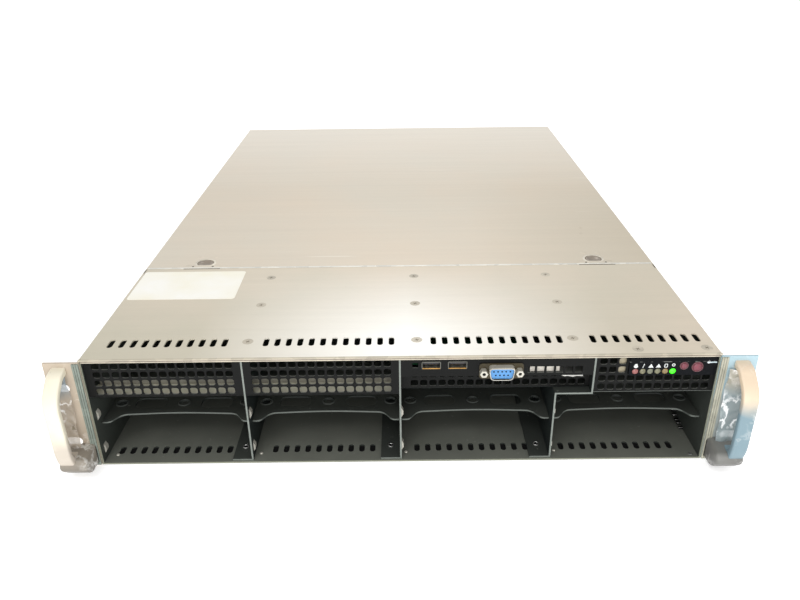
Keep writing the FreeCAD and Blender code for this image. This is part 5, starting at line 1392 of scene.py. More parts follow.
def folded(
    inner: float, outer: float, top: float, bottom: float, sheet: float, radius: float
) -> Outline:
    """Return the section of a sheet that runs outwards from a place and folds down.

    Args:
        inner: Where the section starts.
        outer: How far out the fold's face is.
        top: The height of the sheet's top.
        bottom: The height of the fold's end.
        sheet: The sheet's thickness.
        radius: The outer radius of the bend.

    Returns:
        The closed section.
    """
    sign = 1.0 if outer > inner else -1.0
    bends = (arc((0.0, 0.0), radius, 90.0, 0.0), arc((0.0, 0.0), radius - sheet, 0.0, 90.0))
    skin, lining = (
        [(outer + sign * (x - radius), top - radius + z) for x, z in bend] for bend in bends
    )
    end = [(outer, bottom), (outer - sign * sheet, bottom)]
    return [(inner, top), *skin, *end, *lining, (inner, top - sheet)]


def cross(reach: float, arm: float) -> Outline:
    """Return the outline of an equal-armed cross.

    Args:
        reach: How far an arm reaches from the middle.
        arm: Half the width of an arm.

    Returns:
        The outline.
    """
    quarter = [(arm, arm), (arm, reach), (-arm, reach), (-arm, arm)]
    turns = [quarter]
    for _ in range(3):
        turns.append([(-y, x) for x, y in turns[-1]])
    return [point for turn in turns for point in turn[1:]]


# --- the assemblies ---


@dataclass(frozen=True)
class Row:
    """A row of equal features.

    Attributes:
        first: Where the first one is.
        count: How many there are.
        pitch: The distance between them.
    """

    first: float
    count: int
    pitch: float

    def places(self) -> list[float]:
        """Return where they are."""
        return [self.first + number * self.pitch for number in range(self.count)]


def grid(across: Row, up: Row) -> list[Point]:
    """Return the crossings of two rows."""
    return [(x, z) for z in up.places() for x in across.places()]


@dataclass
class Assembly:
    """A part of the server's outside.

    Attributes:
        shop: The workshop that presses its sheets and sets its copies.
    """

    shop: Workshop

    def build(self) -> None:
        """Build the assembly's pieces."""
        raise NotImplementedError


@dataclass
class Covers(Assembly):
    """The fixed front cover, the sliding rear cover, and what is set in them.

    Attributes:
        top: The height of both skins.
        sheet: The sheet's thickness.
        bend: The outer radius of a side's bend.
        flat_inset: How far a flat stays inside its cover's box.
        front_edge: Where the front flat starts.
        lip_drop: How far the lip hangs down.
        lip_bend: The outer radius of its bend.
        rear_reach: How far the rear fold reaches in.
        end_gap: How far both stay inside the box.
        vent: The punch of the vent slots.
        vent_from_front: How far back they are.
        vents: Their four rows.
        screw_rows: How far back the rows of screws are.
        screw_columns: Where their columns are.
        edge_screws: The two screws near the right edge.
        dish: The radius of a screw's dish.
        opening: The radius of a release button's hole.
        tongue: A tongue's two ends, from the middle.
        leaf: A leaf spring's two ends, from the middle.
        sticker: Two corners of the label.
    """

    top: float = 87.75
    sheet: float = 0.95
    bend: float = 2.0
    flat_inset: float = 2.4
    front_edge: float = 2.2
    lip_drop: float = 2.0
    lip_bend: float = 1.6
    rear_reach: float = 3.0
    end_gap: float = 0.6
    vent: Tool = Tool(4.0, 11.5, 1.95)
    vent_from_front: float = 23.0
    vents: tuple[Row, ...] = (
        Row(-202.7, 11, 8.0),
        Row(-93.7, 12, 8.0),
        Row(23.6, 12, 8.03),
        Row(135.4, 10, 8.03),
    )
    screw_rows: tuple[float, ...] = (24.0, 80.7, 131.0)
    screw_columns: tuple[float, ...] = (-106.8, 12.0, 121.6)
    edge_screws: tuple[Point, ...] = ((162.8, 8.3), (210.1, 8.8))
    dish: float = 3.9
    opening: float = 7.2
    tongue: Point = (155.0, 184.0)
    leaf: Point = (161.0, 217.0)
    sticker: tuple[Point, Point] = ((-215.2, 92.0), (-130.0, 144.5))

    def build(self) -> None:
        """Build both covers and their hardware."""
        self.front()
        self.rear()
        self.screws()
        self.buttons()
        self.label()

    def skin(
        self,
        name: str,
        finish: Finish,
        ends: Point,
        slots: list[Point],
        holes: list[Point],
        hole: Tool,
    ) -> None:
        """Build a cover's flat and its two folded sides.

        Args:
            name: The cover's node.
            finish: Its finish.
            ends: Where it starts and ends, along Y.
            slots: Its vent slots.
            holes: Its round holes.
            hole: The punch of those holes.
        """
        box, body = span(name), "rear_cover" if name == "rear_cover" else "chassis"
        left, right = box.low.x + self.flat_inset, box.high.x - self.flat_inset
        front, back = ends
        outline = [(left, front), (right, front), (right, back), (left, back)]
        marks = pattern([outline], slots, holes)
        place = lying(self.top - self.sheet)
        flat = self.shop.sheet(f"{name}_skin", finish, marks, self.sheet, place, self.vent, hole)
        hang(flat, "galvanised_cover", name, body=body)
        for side, sign in (("left", -1), ("right", 1)):
            inner, outer = sign * right, sign * box.high.x
            section = folded(inner, outer, self.top, box.low.z, self.sheet, self.bend)
            fold = Stock().plate([section], box.low.y, back, Axis.Y)
            mount(fold, f"{name}_fold_{side}", finish, "galvanised_cover", body=body)

    def seats(self) -> list[Point]:
        """Return where the front cover's screws are."""
        rows = [(x, y) for x in self.screw_columns for y in self.screw_rows]
        return rows + list(self.edge_screws)

    def front(self) -> None:
        """Build the front cover with its vent slots, its lip and the lip's hem."""
        box = span("front_cover")
        slots = [(x, self.vent_from_front) for row in self.vents for x in row.places()]
        ends = (self.front_edge, box.high.y)
        self.skin("front_cover", COVER_FRONT, ends, slots, self.seats(), round_punch(self.dish))
        bottom = self.top - self.lip_drop
        section = folded(self.front_edge, box.low.y, self.top, bottom, self.sheet, self.lip_bend)
        lip = Stock().plate([section], box.low.x + self.end_gap, box.high.x - self.end_gap, Axis.X)
        mount(lip, "front_lip", LIP_SHADE, "galvanised_cover")
        inset = self.end_gap + 0.1
        low = (box.low.x + inset, 0.02, bottom + 0.75)
        high = (box.high.x - inset, 0.9, bottom + 1.15)
        mount(Stock().block(low, high, 0.05), "front_hem", HEM, "galvanised_cover")

    def rear(self) -> None:
        """Build the rear cover with its front edge, painted as a bright highlight, and its rear
        fold.
        """
        box = span("rear_cover")
        seam = span("front_cover").high.y + 0.6
        button = span("cover_release_button_right").middle
        holes = [(sign * button.x, button.y) for sign in (-1, 1)]
        ends = (seam + 0.8, box.high.y - self.rear_reach)
        self.skin("rear_cover", COVER_REAR, ends, [], holes, round_punch(self.opening))
        # the front edge's near-white strip is a painted highlight
        low = (box.low.x + self.flat_inset, seam, self.top - 1.1)
        high = (box.high.x - self.flat_inset, seam + 2.2, self.top + 0.3)
        edge = Stock().block(low, high, 0.3)
        mount(edge, "rear_cover_edge", SEAM, "galvanised_cover", body="rear_cover")
        section = folded(ends[1], box.high.y, self.top, box.low.z, self.sheet, self.bend)
        back = Stock().plate([section], box.low.x + self.end_gap, box.high.x - self.end_gap, Axis.X)
        mount(back, "rear_cover_lip", COVER_REAR, "galvanised_cover", body="rear_cover")
        self.tongues(seam, button.y)
        self.leaf_springs(button.y)

    def tongues(self, seam: float, buttons: float) -> None:
        """Build the rear cover's two tongues, their slits and their rivets.

        Args:
            seam: Where the rear cover starts.
            buttons: How far back the release buttons are.
        """
        top, tongues, slits = self.top, Stock(), Stock()
        dimple = [(0.9, 0.0), (0.9, 0.03), (0.0, 0.03)]
        rivet = [(2.2, -0.1), (1.9, 0.12), (1.0, 0.2), (0.0, 0.22)]
        for sign in (-1, 1):
            left, right = sorted(sign * end for end in self.tongue)
            tongues.block((left, seam - 0.3, top - 0.1), (right, seam + 7.0, top + 0.2), 0.15)
            # the slits and the dimples on the tongues are dark painted shade
            slits.block((left - 1, seam - 1.2, top - 0.9), (right + 1, seam - 0.2, top + 0.06))
            for x in (left + 6.0, right - 6.0):
                slits.turned(dimple, (x, seam + 3.6, top + 0.19), sides=12)
            for x in (left + 8.0, right - 8.0):
                tongues.turned(rivet, (x, buttons + 13.5, top), sides=20)
        mount(tongues, "cover_tongues", COVER_REAR, "galvanised_cover", body="rear_cover")
        mount(slits, "cover_slits", CAVITY, "galvanised_cover", body="rear_cover")

    def leaf_springs(self, buttons: float) -> None:
        """Build the leaf springs under the release buttons.

        Args:
            buttons: How far back the release buttons are.
        """
        inner, outer = self.leaf
        low, top, sheet = 79.6, 86.6, 0.6
        bends = [(outer, top, 0), (outer, low, 2), (inner, low, 0), (inner, low + sheet, 0)]
        bends += [(outer - sheet, low + sheet, 1.5), (outer - sheet, top, 0)]
        leaves = Stock()
        for sign in (-1, 1):
            spring = eased([(sign * x, z, radius) for x, z, radius in bends])
            leaves.plate([spring], buttons - 7, buttons + 7, Axis.Y)
        mount(leaves, "leaf_springs", STEEL, "bright_steel", body="rear_cover")

    def screws(self) -> None:
        """Build the sunk cross-head screws in their dishes."""
        places, top = [(x, y, 0.0) for x, y in self.seats()], lying(self.top)
        dish = Stock().turned([(self.dish + 0.1, 0.0), (3.3, -0.35), (2.9, -0.75), (0.0, -0.75)])
        dishes = self.shop.copies("screw_dishes", SCREW, dish, places, top)
        hang(dishes, "galvanised_cover")
        head = Stock().turned([(2.75, -0.8), (2.75, -0.3), (2.4, -0.08), (1.2, 0.0), (0.0, 0.02)])
        heads = self.shop.copies("cover_screw_heads", SCREW, head, places, top)
        hang(heads, "bright_steel", "front_cover_screws")
        # the cross recesses are drawn as raised darker crosses: painted shade
        recess = Stock().plate([cross(1.5, 0.36)], -0.1, 0.04)
        name, turns = "cover_screw_recesses", {"spin": 1.5, "seed": 4}
        marks = self.shop.copies(name, SOFT_MARK, recess, places, top, **turns)
        hang(marks, "bright_steel")

    def buttons(self) -> None:
        """Build the two dished release buttons and the rings round them."""
        dished = [(6.75, -1.6), (6.75, -0.35), (6.4, -0.02), (5.4, 0.0)]
        dished += [(4.4, -0.3), (3.2, -0.75), (0.0, -0.95)]
        collar = [(3.0, -1.6), (7.6, -1.6), (7.6, -1.2), (6.75, -1.2)]
        rim = [(9.1, -0.02), (8.7, 0.2), (8.0, 0.24), (7.2, 0.1), (7.08, -0.9)]
        for side in ("left", "right"):
            node = f"cover_release_button_{side}"
            box = span(node)
            place = (box.middle.x, box.middle.y, self.top)
            foot = box.low.z - self.top
            # the cap's darker colour is partly painted shade in its dish
            cap = Stock().turned([(0.0, foot), (3.0, foot), *collar, *dished], place, sides=40)
            body = f"{side}_release_button"
            mount(cap, f"{node}_cap", CAP, "bright_steel", node, body=body, crease=50.0)
            # the ring's paler colour is a painted highlight
            edge = Stock().turned(rim, place, sides=40, capped=False)
            name = f"release_ring_{side}"
            mount(edge, name, LIP, "galvanised_cover", body="rear_cover", crease=60.0)

    def label(self) -> None:
        """Build the blank sticker on the front cover."""
        sticker = Stock().plate([rounded(*self.sticker, 2.5)], self.top - 0.02, self.top + 0.12)
        mount(sticker, "blank_label", STICKER, "galvanised_cover")


@dataclass
class DriveCage(Assembly):
    """The shelves between the bays and the hardware of the bays.

    Attributes:
        column: The width of a column of bays.
        web: The thickness of a divider.
        wall: Where the side walls' inner faces are, from the middle.
        top: The height of the shelves' tops.
        sheet: The sheet's thickness.
        horn_front: Where a shelf's two horns start.
        front: Where a shelf's middle starts.
        hole_line: How far back the holes and windows are.
        hole_pitch: The distance between holes.
        window_step: How far a window is from the shelf's middle, in hole pitches.
        window: The punch of the windows.
        hole: The punch of the holes.
    """

    column: float = 107.9
    web: float = 0.6
    wall: float = 215.8
    top: float = 30.0
    sheet: float = 1.2
    horn_front: float = 10.5
    front: float = 21.5
    hole_line: float = 34.0
    hole_pitch: float = 46.5
    window_step: float = 0.53
    window: Tool = Tool(23.0, 13.0, 4.5)
    hole: Tool = round_punch(3.75)

    def build(self) -> None:
        """Build the four shelves, the rims of their holes and the bays' hardware."""
        rims: list[Place] = []
        gap = 0.1
        for number in range(4):
            low = -self.wall + number * self.column + (self.web + gap if number else gap)
            high = -self.wall + (number + 1) * self.column - (self.web + gap if number < 3 else gap)
            rims += self.shelf(number + 1, low, high)
        lip = [(3.72, -1.2), (3.72, 0.3), (3.95, 0.5), (4.3, 0.4), (4.8, 0.02)]
        rim = Stock().turned(lip, sides=28, capped=False)
        # the rims' paler finish is a painted highlight
        copies = self.shop.copies("shelf_hole_rims", SHELF_RIM, rim, rims, lying(self.top))
        hang(copies, "dark_paint")
        self.rivets()
        self.wall_tabs()

    def shelf(self, number: int, low: float, high: float) -> list[Place]:
        """Build a shelf.

        Args:
            number: Its number from the left.
            low: Its left edge.
            high: Its right edge.

        Returns:
            Where the rims of its holes go.
        """
        back = span("drive_shelves").high.y
        horn = self.horn_front
        edge = [(0.0, horn, 0.6), (5.5, horn, 7.0), (12.0, self.front - 1.5, 9.0)]
        corners = [(low + x, y, radius) for x, y, radius in edge]
        corners.append(((low + high) / 2, self.front + 0.8, 1500.0))
        corners += [(high - x, y, radius) for x, y, radius in reversed(edge)]
        outline = eased(corners + [(high, back, 0.0), (low, back, 0.0)], 10)
        middle, step = (low + high) / 2, self.window_step
        holes = [(middle + share * self.hole_pitch, self.hole_line) for share in (-1, 0, 1)]
        windows = [(middle + share * self.hole_pitch, self.hole_line) for share in (-step, step)]
        marks, place = pattern([outline], windows, holes), lying(self.top - self.sheet)
        name = f"drive_shelf_{number}"
        piece = self.shop.sheet(name, SHELF, marks, self.sheet, place, self.window, self.hole)
        hang(piece, "dark_paint", "drive_shelves")
        return [(x, y, 0.0) for x, y in holes]

    def rivets(self) -> None:
        """Build the sunk screws of the dividers' feet and the bright studs at the bays' front."""
        box = span("divider_screws")
        walls = (-self.column, 0.0, self.column)
        rows = (box.low.y + 2.6, box.high.y - 2.6)
        places = [(x - self.web - 7.0, y, 0.0) for x in walls for y in rows]
        floor = lying(box.high.z - 0.4)
        lip = [(2.1, -1.2), (2.1, 0.0), (1.95, 0.12), (1.7, 0.08), (1.5, -0.3)]
        rim = Stock().turned(lip, sides=24, capped=False)
        heads = self.shop.copies("foot_screws", STEEL, rim, places, floor)
        hang(heads, "bright_steel", "divider_screws")
        # the wells inside the screws' rims are dark painted shade
        well = Stock().turned([(1.65, -0.9), (1.65, -0.1), (0.0, -0.15)], sides=20)
        wells = self.shop.copies("foot_screw_wells", CAVITY, well, places, floor)
        hang(wells, "dark_paint")
        stud = Stock().turned([(1.3, -0.4), (1.3, 0.2), (0.9, 0.6), (0.0, 0.75)], sides=16)
        spots = (-self.wall + 7.0, -self.column + 4.9, 3.6, self.column + 4.6)
        places = [(x, 9.3, 0.0) for x in spots]
        studs = self.shop.copies("bay_studs", PLATED, stud, places, lying(1.35))
        hang(studs, "bright_steel")

    def wall_tabs(self) -> None:
        """Build the row of small pressed tabs at the foot of the right wall."""
        tabs, studs, wall = Stock(), Stock(), self.wall - 0.2
        for y, z in ((52.0, 5.4), (47.6, 3.6), (43.0, 2.4), (38.4, 2.6), (33.4, 1.9)):
            tabs.block((wall - 3.2, y - 1.2, z), (wall, y + 1.2, z + 1.3), 0.2)
            studs.block((wall - 3.4, y - 1.3, z + 1.3), (wall - 0.4, y - 0.9, z + 1.6), 0.1)
        studs.block((209.4, 2.2, 1.45), (212.0, 3.8, 1.7), 0.1)
        # the tabs take the cavities' dark painted shade
        mount(tabs, "wall_tabs", CAVITY, "dark_paint")
        mount(studs, "wall_tab_edges", STEEL, "bright_steel")


@dataclass
class Grilles(Assembly):
    """The perforated panels over the bays and the returns behind them, painted pale to stand for
    light that falls through the cover's vents.

    Attributes:
        hole: The punch of the perforations.
        pitch: The distance between columns of perforations.
        row_pitch: The distance between rows of perforations.
        first_row: The height of the lowest row.
        sheet: The sheet's thickness.
        depth: How far a panel's return reaches to the rear.
    """

    hole: Tool = Tool(5.2, 5.1, 1.6)
    pitch: float = 6.48
    row_pitch: float = 6.77
    first_row: float = 61.8
    sheet: float = 0.9
    depth: float = 16.0

    def holes(self, first: float, columns: int, rows: int, lowest: int = 0) -> list[Point]:
        """Return a field of perforations, in X and Z, from its first column and lowest row."""
        up = Row(self.first_row + lowest * self.row_pitch, rows, self.row_pitch)
        return grid(Row(first, columns, self.pitch), up)

    def build(self) -> None:
        """Build the four panels and what shows behind them."""
        for name in ("grille_left", "grille_middle"):
            box = span(name)
            self.panel(name, box, self.holes(box.middle.x - 7 * self.pitch, 15, 4), lit=True)
        self.panel("grille_centre", span("grille_centre"), self.holes(10.0, 19, 2))
        box, block = span("grille_right"), span("control_panel_housing")
        first = box.low.x + 5.0
        low, high = (block.low.x - 0.2, block.low.z - 0.2), (block.high.x + 0.2, block.high.z + 0.2)
        holes = self.holes(first, 12, 2) + self.holes(first, 3, 2, lowest=2)
        self.panel("grille_right", box, holes, [rounded(low, high, 0.8)])
        strip = Stock().block((box.low.x, box.low.y + 1.2, box.high.z - 1.0), box.high, 0.2)
        mount(strip, "grille_right_strip", STEEL, "dark_paint")
        self.backings(first)

    def backings(self, first: float) -> None:
        """Build the pale pieces behind some perforations, painted light standing for lit surfaces
        seen through them, and the flake of bare metal by the ports.

        Args:
            first: The first column of holes beside the control block.
        """
        vents = span("io_tray_panel")
        face = vents.low.y
        # painted light behind the port tray's vents
        low, high = (89.2, face + 2.2, vents.low.z + 1.8), (109.5, face + 2.8, vents.high.z - 1.2)
        vent_patch = Stock().block(low, high, 0.2)
        mount(vent_patch, "vent_backing", VENT_LIGHT_PATCH, "dark_paint")
        # painted light behind one column of holes beside the control block
        column = first + 2 * self.pitch
        start = self.first_row + 2 * self.row_pitch - 3.4
        low, high = (column - 3.2, face + 1.6, start), (column + 3.2, face + 2.2, start + 13.6)
        hole_patch = Stock().block(low, high, 0.2)
        mount(hole_patch, "hole_backing", HOLE_LIGHT_PATCH, "dark_paint")
        face, edge = span("grille_centre").low.y, self.first_row + 5.3
        torn = [(112.5, 0.0), (114.5, -0.9), (117.0, -0.6), (120.5, -1.4)]
        torn += [(123.0, -0.7), (127.3, -0.9), (127.6, 0.7), (114.0, 0.9)]
        outline = [(x, edge + z) for x, z in torn]
        flake = Stock().plate([outline], face - 0.22, face - 0.02, Axis.Y)
        mount(flake, "bare_flake", FLAKE, "dark_paint")

    def panel(
        self,
        name: str,
        box: Span,
        holes: list[Point],
        windows: Sequence[Outline] = (),
        lit: bool = False,
    ) -> None:
        """Build a panel and its return.

        Args:
            name: The CAD node that it stands for.
            box: That node's box.
            holes: Where its perforations are, in X and Z.
            windows: Larger openings.
            lit: Whether its return is painted as lit: painted light on the return and on a pale hem
                behind it.
        """
        (left, _, bottom), (right, _, top) = box.low, box.high
        start = bottom + 0.8
        outline = [(left, start), (right, start), (right, top), (left, top)]
        marks, place = pattern([outline, *windows], holes), standing(box.low.y)
        sheet = self.shop.sheet(f"{name}_sheet", PANEL, marks, self.sheet, place, self.hole)
        hang(sheet, "dark_paint", name)
        rear = box.low.y + self.depth
        section = folded(rear, box.low.y, -bottom, -bottom - 1.2, self.sheet, 1.1)
        bend = Stock().plate([[(y, -z) for y, z in section]], left, right, Axis.X)
        # a lit panel's return and the pale hem behind it are painted light from the cover's vents
        mount(bend, f"{name}_fold", FOLD if lit else CAGE, "dark_paint")
        if lit:
            low = (left + 2.0, rear - self.sheet, bottom + 0.3)
            high = (right - 2.0, rear, bottom + 5.6)
            mount(Stock().block(low, high, 0.2), f"{name}_hem", PANEL_HEM, "dark_paint")


@dataclass
class PortTray(Assembly):
    """The two USB ports and the serial port of the recessed tray.

    Attributes:
        usb_width: The width of a USB shell.
        wall: The thickness of its wall.
        shell: The outer size of the serial port's D shell.
        mouth: The size of its opening.
        pin_pitch: The distance between contacts in a row.
        bolt: The outer radius of a jackscrew's hexagon.
    """

    usb_width: float = 13.1
    wall: float = 0.5
    shell: Point = (18.4, 9.8)
    mouth: Point = (17.0, 8.4)
    pin_pitch: float = 2.77
    bolt: float = 2.75

    def build(self) -> None:
        """Build the ports."""
        self.usb()
        self.serial()
        self.jackscrews()

    def usb(self) -> None:
        """Build each USB port: a rolled shell, its springs, a dark tongue and its contacts, with a
        painted highlight along the front of the shell's lower wall.
        """
        box = span("usb_port_shells")
        half, front, back, middle = self.usb_width / 2, box.low.y, box.high.y, box.middle.z
        shells, tongues, contacts, lit_rims = Stock(), Stock(), Stock(), Stock()
        for x in (box.low.x + half, box.high.x - half):
            (left, bottom), (right, top) = (x - half, box.low.z), (x + half, box.high.z)
            low, high = bottom + self.wall, top - self.wall
            inner = rounded((left + self.wall, low), (right - self.wall, high), 0.5)
            shells.plate([rounded((left, bottom), (right, top), 0.9), inner], front, back, Axis.Y)
            shells.block((left, back - 0.6, bottom), (right, back, top), 0.2)
            # a strip in the contacts' gold along the front of the lower wall: a painted highlight
            end = (right - 0.5, front + 0.5, bottom + 0.75)
            lit_rims.block((left + 0.5, front - 0.06, bottom + 0.05), end, 0.1)
            for spot in (x - 3.0, x + 3.0):
                for z, sag in ((low, 0.7), (high, -0.7)):
                    spring = eased([(front + 1, z, 0), (front + 4, z + sag, 1), (front + 8, z, 0)])
                    shells.plate([spring], spot - 1.0, spot + 1.0, Axis.X)
            end = (x + 5.6, back - 0.6, middle + 1.9)
            tongues.block((x - 5.6, front + 1.2, middle + 0.1), end, 0.3)
            for spot in (x - 3.5, x - 1.0, x + 1.0, x + 3.5):
                end = (spot + 0.5, back - 1.0, middle + 0.14)
                contacts.block((spot - 0.5, front + 1.6, middle - 0.12), end, 0.05)
        mount(shells, "usb_shells", USB_STEEL, "bright_steel", "usb_port_shells")
        mount(tongues, "usb_tongues", BLACK, "black_plastic", "usb_port_tongues")
        mount(contacts, "usb_contacts", GOLD, "bright_steel")
        mount(lit_rims, "usb_lower_rims", GOLD, "bright_steel")

    @staticmethod
    def d_shape(centre: Point, size: Point, radius: float, grow: float = 0.0) -> Outline:
        """Return a D outline, narrower below.

        Args:
            centre: Its centre.
            size: Its width and height.
            radius: The radius of its corners.
            grow: What is added to width and height.

        Returns:
            The outline.
        """
        width, height = size[0] + grow, size[1] + grow
        x, z, slant = width / 2, height / 2, height * 0.176
        corners = [(-x + slant, -z), (x - slant, -z), (x, z), (-x, z)]
        return eased([(centre[0] + px, centre[1] + pz, radius) for px, pz in corners])

    def serial(self) -> None:
        """Build the serial port: its flange, rolled D shell, insert and contacts."""
        box, face = span("serial_port_shell"), span("io_tray_panel").low.y
        front, centre = box.low.y, (box.middle.x, box.middle.z)
        low, high = (box.low.x + 0.4, centre[1] - 5.9), (box.high.x - 0.4, centre[1] + 5.9)
        loops = [rounded(low, high, 2.2), self.d_shape(centre, self.mouth, 2.4)]
        flange = Stock().plate(loops, face - 0.9, face - 0.1, Axis.Y)
        mount(flange, "serial_flange", YELLOW_PLATE, "bright_steel", "serial_port_shell")
        shell = Stock()
        for grow, start in ((0.0, 0.7), (-0.35, 0.2), (-0.6, 0.0)):
            outer = self.d_shape(centre, self.shell, 2.9, grow)
            loops = [outer, self.d_shape(centre, self.mouth, 2.3)]
            shell.plate(loops, front + start, face + 0.5, Axis.Y)
        mount(shell, "serial_rim", PLATED, "bright_steel")
        outline = self.d_shape(centre, self.mouth, 2.2, -0.1)
        core = Stock().plate([outline], front + 1.6, span("serial_port_insert").high.y, Axis.Y)
        mount(core, "serial_insert", BLUE, "port_blue", "serial_port_insert")
        # the contact holes are dark painted shade
        contacts, hole = Stock(), [(0.62, 0.0), (0.62, 0.16), (0.0, 0.16)]
        for count, z in ((5, centre[1] + 1.42), (4, centre[1] - 1.42)):
            first = centre[0] - (count - 1) * self.pin_pitch / 2
            for x in Row(first, count, self.pin_pitch).places():
                contacts.turned(hole, (x, front + 1.52, z), Axis.Y, 12)
        mount(contacts, "serial_contacts", CAVITY, "port_blue")

    def jackscrews(self) -> None:
        """Build the serial port's two hexagonal jackscrews."""
        bolts, face = span("serial_port_jackscrews"), span("io_tray_panel").low.y
        height, start = span("serial_port_shell").middle.z, bolts.low.y
        studs, bores = Stock(), Stock()
        for x in (bolts.low.x + 2.7, bolts.high.x - 2.7):
            hexagon = arc((x, height), self.bolt, 0, 300, 5)
            studs.plate([hexagon, ring((x, height), 1.2, 16)], start, face, Axis.Y)
            # the bores are dark painted shade
            bores.turned([(1.25, start + 0.8), (1.25, face)], (x, 0, height), Axis.Y, 16)
        name = "serial_port_jackscrews"
        mount(studs, "serial_jackscrews", PLATED, "bright_steel", name, crease=25.0)
        mount(bores, "jackscrew_bores", CAVITY, "bright_steel")


class Light(Enum):
    """The indicator lights from left to right, with the finish of each lens."""

    FAULT = PINK
    FIRST = OLIVE
    SECOND = OLIVE_GREEN
    THIRD = OLIVE_PALE
    DISK = AMBER
    POWER = GREEN


@dataclass
class ControlPanel(Assembly):
    """The glossy block at the upper right: lights, symbols and two buttons.

    Attributes:
        light_radius: The radius of a lens.
        light_pitch: The distance between lenses.
        power_radius: The radius of the power button.
        reset_radius: The radius of the reset button.
        face: The thickness of the block's face.
        ink: Where the printed symbols start and end, from the face.
        symbol_scale: How much larger than drawn a symbol is.
        symbol_rise: How far above the lenses the symbols are.
        marks: The printed symbols.
    """

    light_radius: float = 2.15
    light_pitch: float = 5.1
    power_radius: float = 3.1
    reset_radius: float = 2.1
    face: float = 3.0
    ink: Point = (-0.03, 0.05)
    symbol_scale: float = 1.3
    symbol_rise: float = 4.5
    marks: Stock = field(default_factory=Stock)

    def build(self) -> None:
        """Build the block and what it holds."""
        block, lens = span("control_panel_housing"), span("led_lenses")
        (left, front, bottom), (right, back, top) = block.low, block.high
        lights = Row(lens.low.x + self.light_radius, len(Light), self.light_pitch).places()
        power, reset = span("power_button"), span("reset_button")
        buttons = (("power", power, self.power_radius), ("reset", reset, self.reset_radius))
        holes = [ring((x, lens.middle.z), self.light_radius + 0.12) for x in lights]
        for _, box, radius in buttons:
            holes.append(ring((box.middle.x, box.middle.z), radius + 0.3, 32))
        outer = rounded((left, bottom), (right, top + 1.7), 1.2)
        face = Stock().plate([outer, *holes], front, front + self.face, Axis.Y)
        low = (left + 0.3, front + self.face - 0.4, bottom + 0.3)
        face.block(low, (right - 0.3, back, top - 0.3), 0.4)
        mount(face, "control_block", GLOSS, "gloss_black", "control_panel_housing")
        radius = self.light_radius
        dome = [(radius, self.face), (radius, 0.25), (1.6, -0.15), (0.8, -0.35), (0.0, -0.4)]
        for light, x in zip(Light, lights):
            lens_piece = Stock().turned(dome, (x, front, lens.middle.z), Axis.Y, 24)
            name = f"indicator_{light.name.lower()}"
            mount(lens_piece, name, light.value, "lens", "led_lenses", crease=60.0)
        for name, box, radius in buttons:
            self.button(name, box, radius)
        self.symbols(lights, lens.middle.z + self.symbol_rise, front)
        self.power_sign(power.middle.x + 7.2, power.middle.z + 3.6, front)
        mount(self.marks, "panel_symbols", WHITE_MARK, "gloss_black")

    def button(self, name: str, box: Span, radius: float) -> None:
        """Build a domed button with a ring round it.

        Args:
            name: The button's name.
            box: Its CAD node's box.
            radius: Its radius.
        """
        place, node = (box.middle.x, box.low.y, box.middle.z), f"{name}_button"
        length = box.high.y - box.low.y
        profile = [(0.0, length), (radius - 0.2, length), (radius - 0.2, 1.2), (radius, 1.1)]
        profile += [(radius, 0.6), (radius * 0.86, 0.16), (radius * 0.55, 0.04), (0.0, 0.12)]
        cap = Stock().turned(profile, place, Axis.Y, 36)
        mount(cap, f"{name}_cap", ROSE, "button_red", node, body=node, crease=55.0)
        rim = [(radius + 0.2, 1.6), (radius + 0.2, 0.55), (radius + 0.6, 0.45), (radius + 0.9, 0.9)]
        collar = Stock().turned(rim, place, Axis.Y, 36, capped=False)
        mount(collar, f"{name}_collar", PINK_EDGE, "gloss_black", crease=60.0)

    def symbols(self, lights: list[float], height: float, front: float) -> None:
        """Print a plain mark over each light.

        Args:
            lights: Where the lights are.
            height: The height of the marks.
            front: Where the block's face is.
        """
        scale = self.symbol_scale
        triangle = [(-1.4, -1.1), (1.4, -1.1), (0.0, 1.2)]
        outlines = (
            [arc((0.0, 0.0), 1.25, 200, 340, 10) + [(0.5, 1.2), (-0.5, 1.2)]],
            [[(-0.5, -1.2), (-0.1, -1.2), (0.6, 1.2), (0.2, 1.2)]],
            [triangle],
            [triangle],
            [rounded((-0.9, -1.2), (0.9, 1.2), 0.6), rounded((-0.5, -0.8), (0.5, 0.8), 0.4)],
            [ring((0.0, 0.4), 0.9, 16), ring((0.0, 0.4), 0.5, 16)],
        )
        for light, loops in zip(lights, outlines):
            placed = [[(light + scale * x, height + scale * z) for x, z in loop] for loop in loops]
            self.marks.plate(placed, front + self.ink[0], front + self.ink[1], Axis.Y)

    def power_sign(self, x: float, z: float, front: float) -> None:
        """Print the power sign: an open ring with a stroke in its gap.

        Args:
            x: Where its centre is.
            z: The height of its centre.
            front: Where the block's face is.
        """
        open_ring = arc((x, z), 1.0, 120, 420, 14) + arc((x, z), 0.72, 420, 120, 14)
        stroke = rounded((x - 0.15, z + 0.1), (x + 0.15, z + 1.3), 0.1)
        for outline in (open_ring, stroke):
            self.marks.plate([outline], front + self.ink[0], front + self.ink[1], Axis.Y)


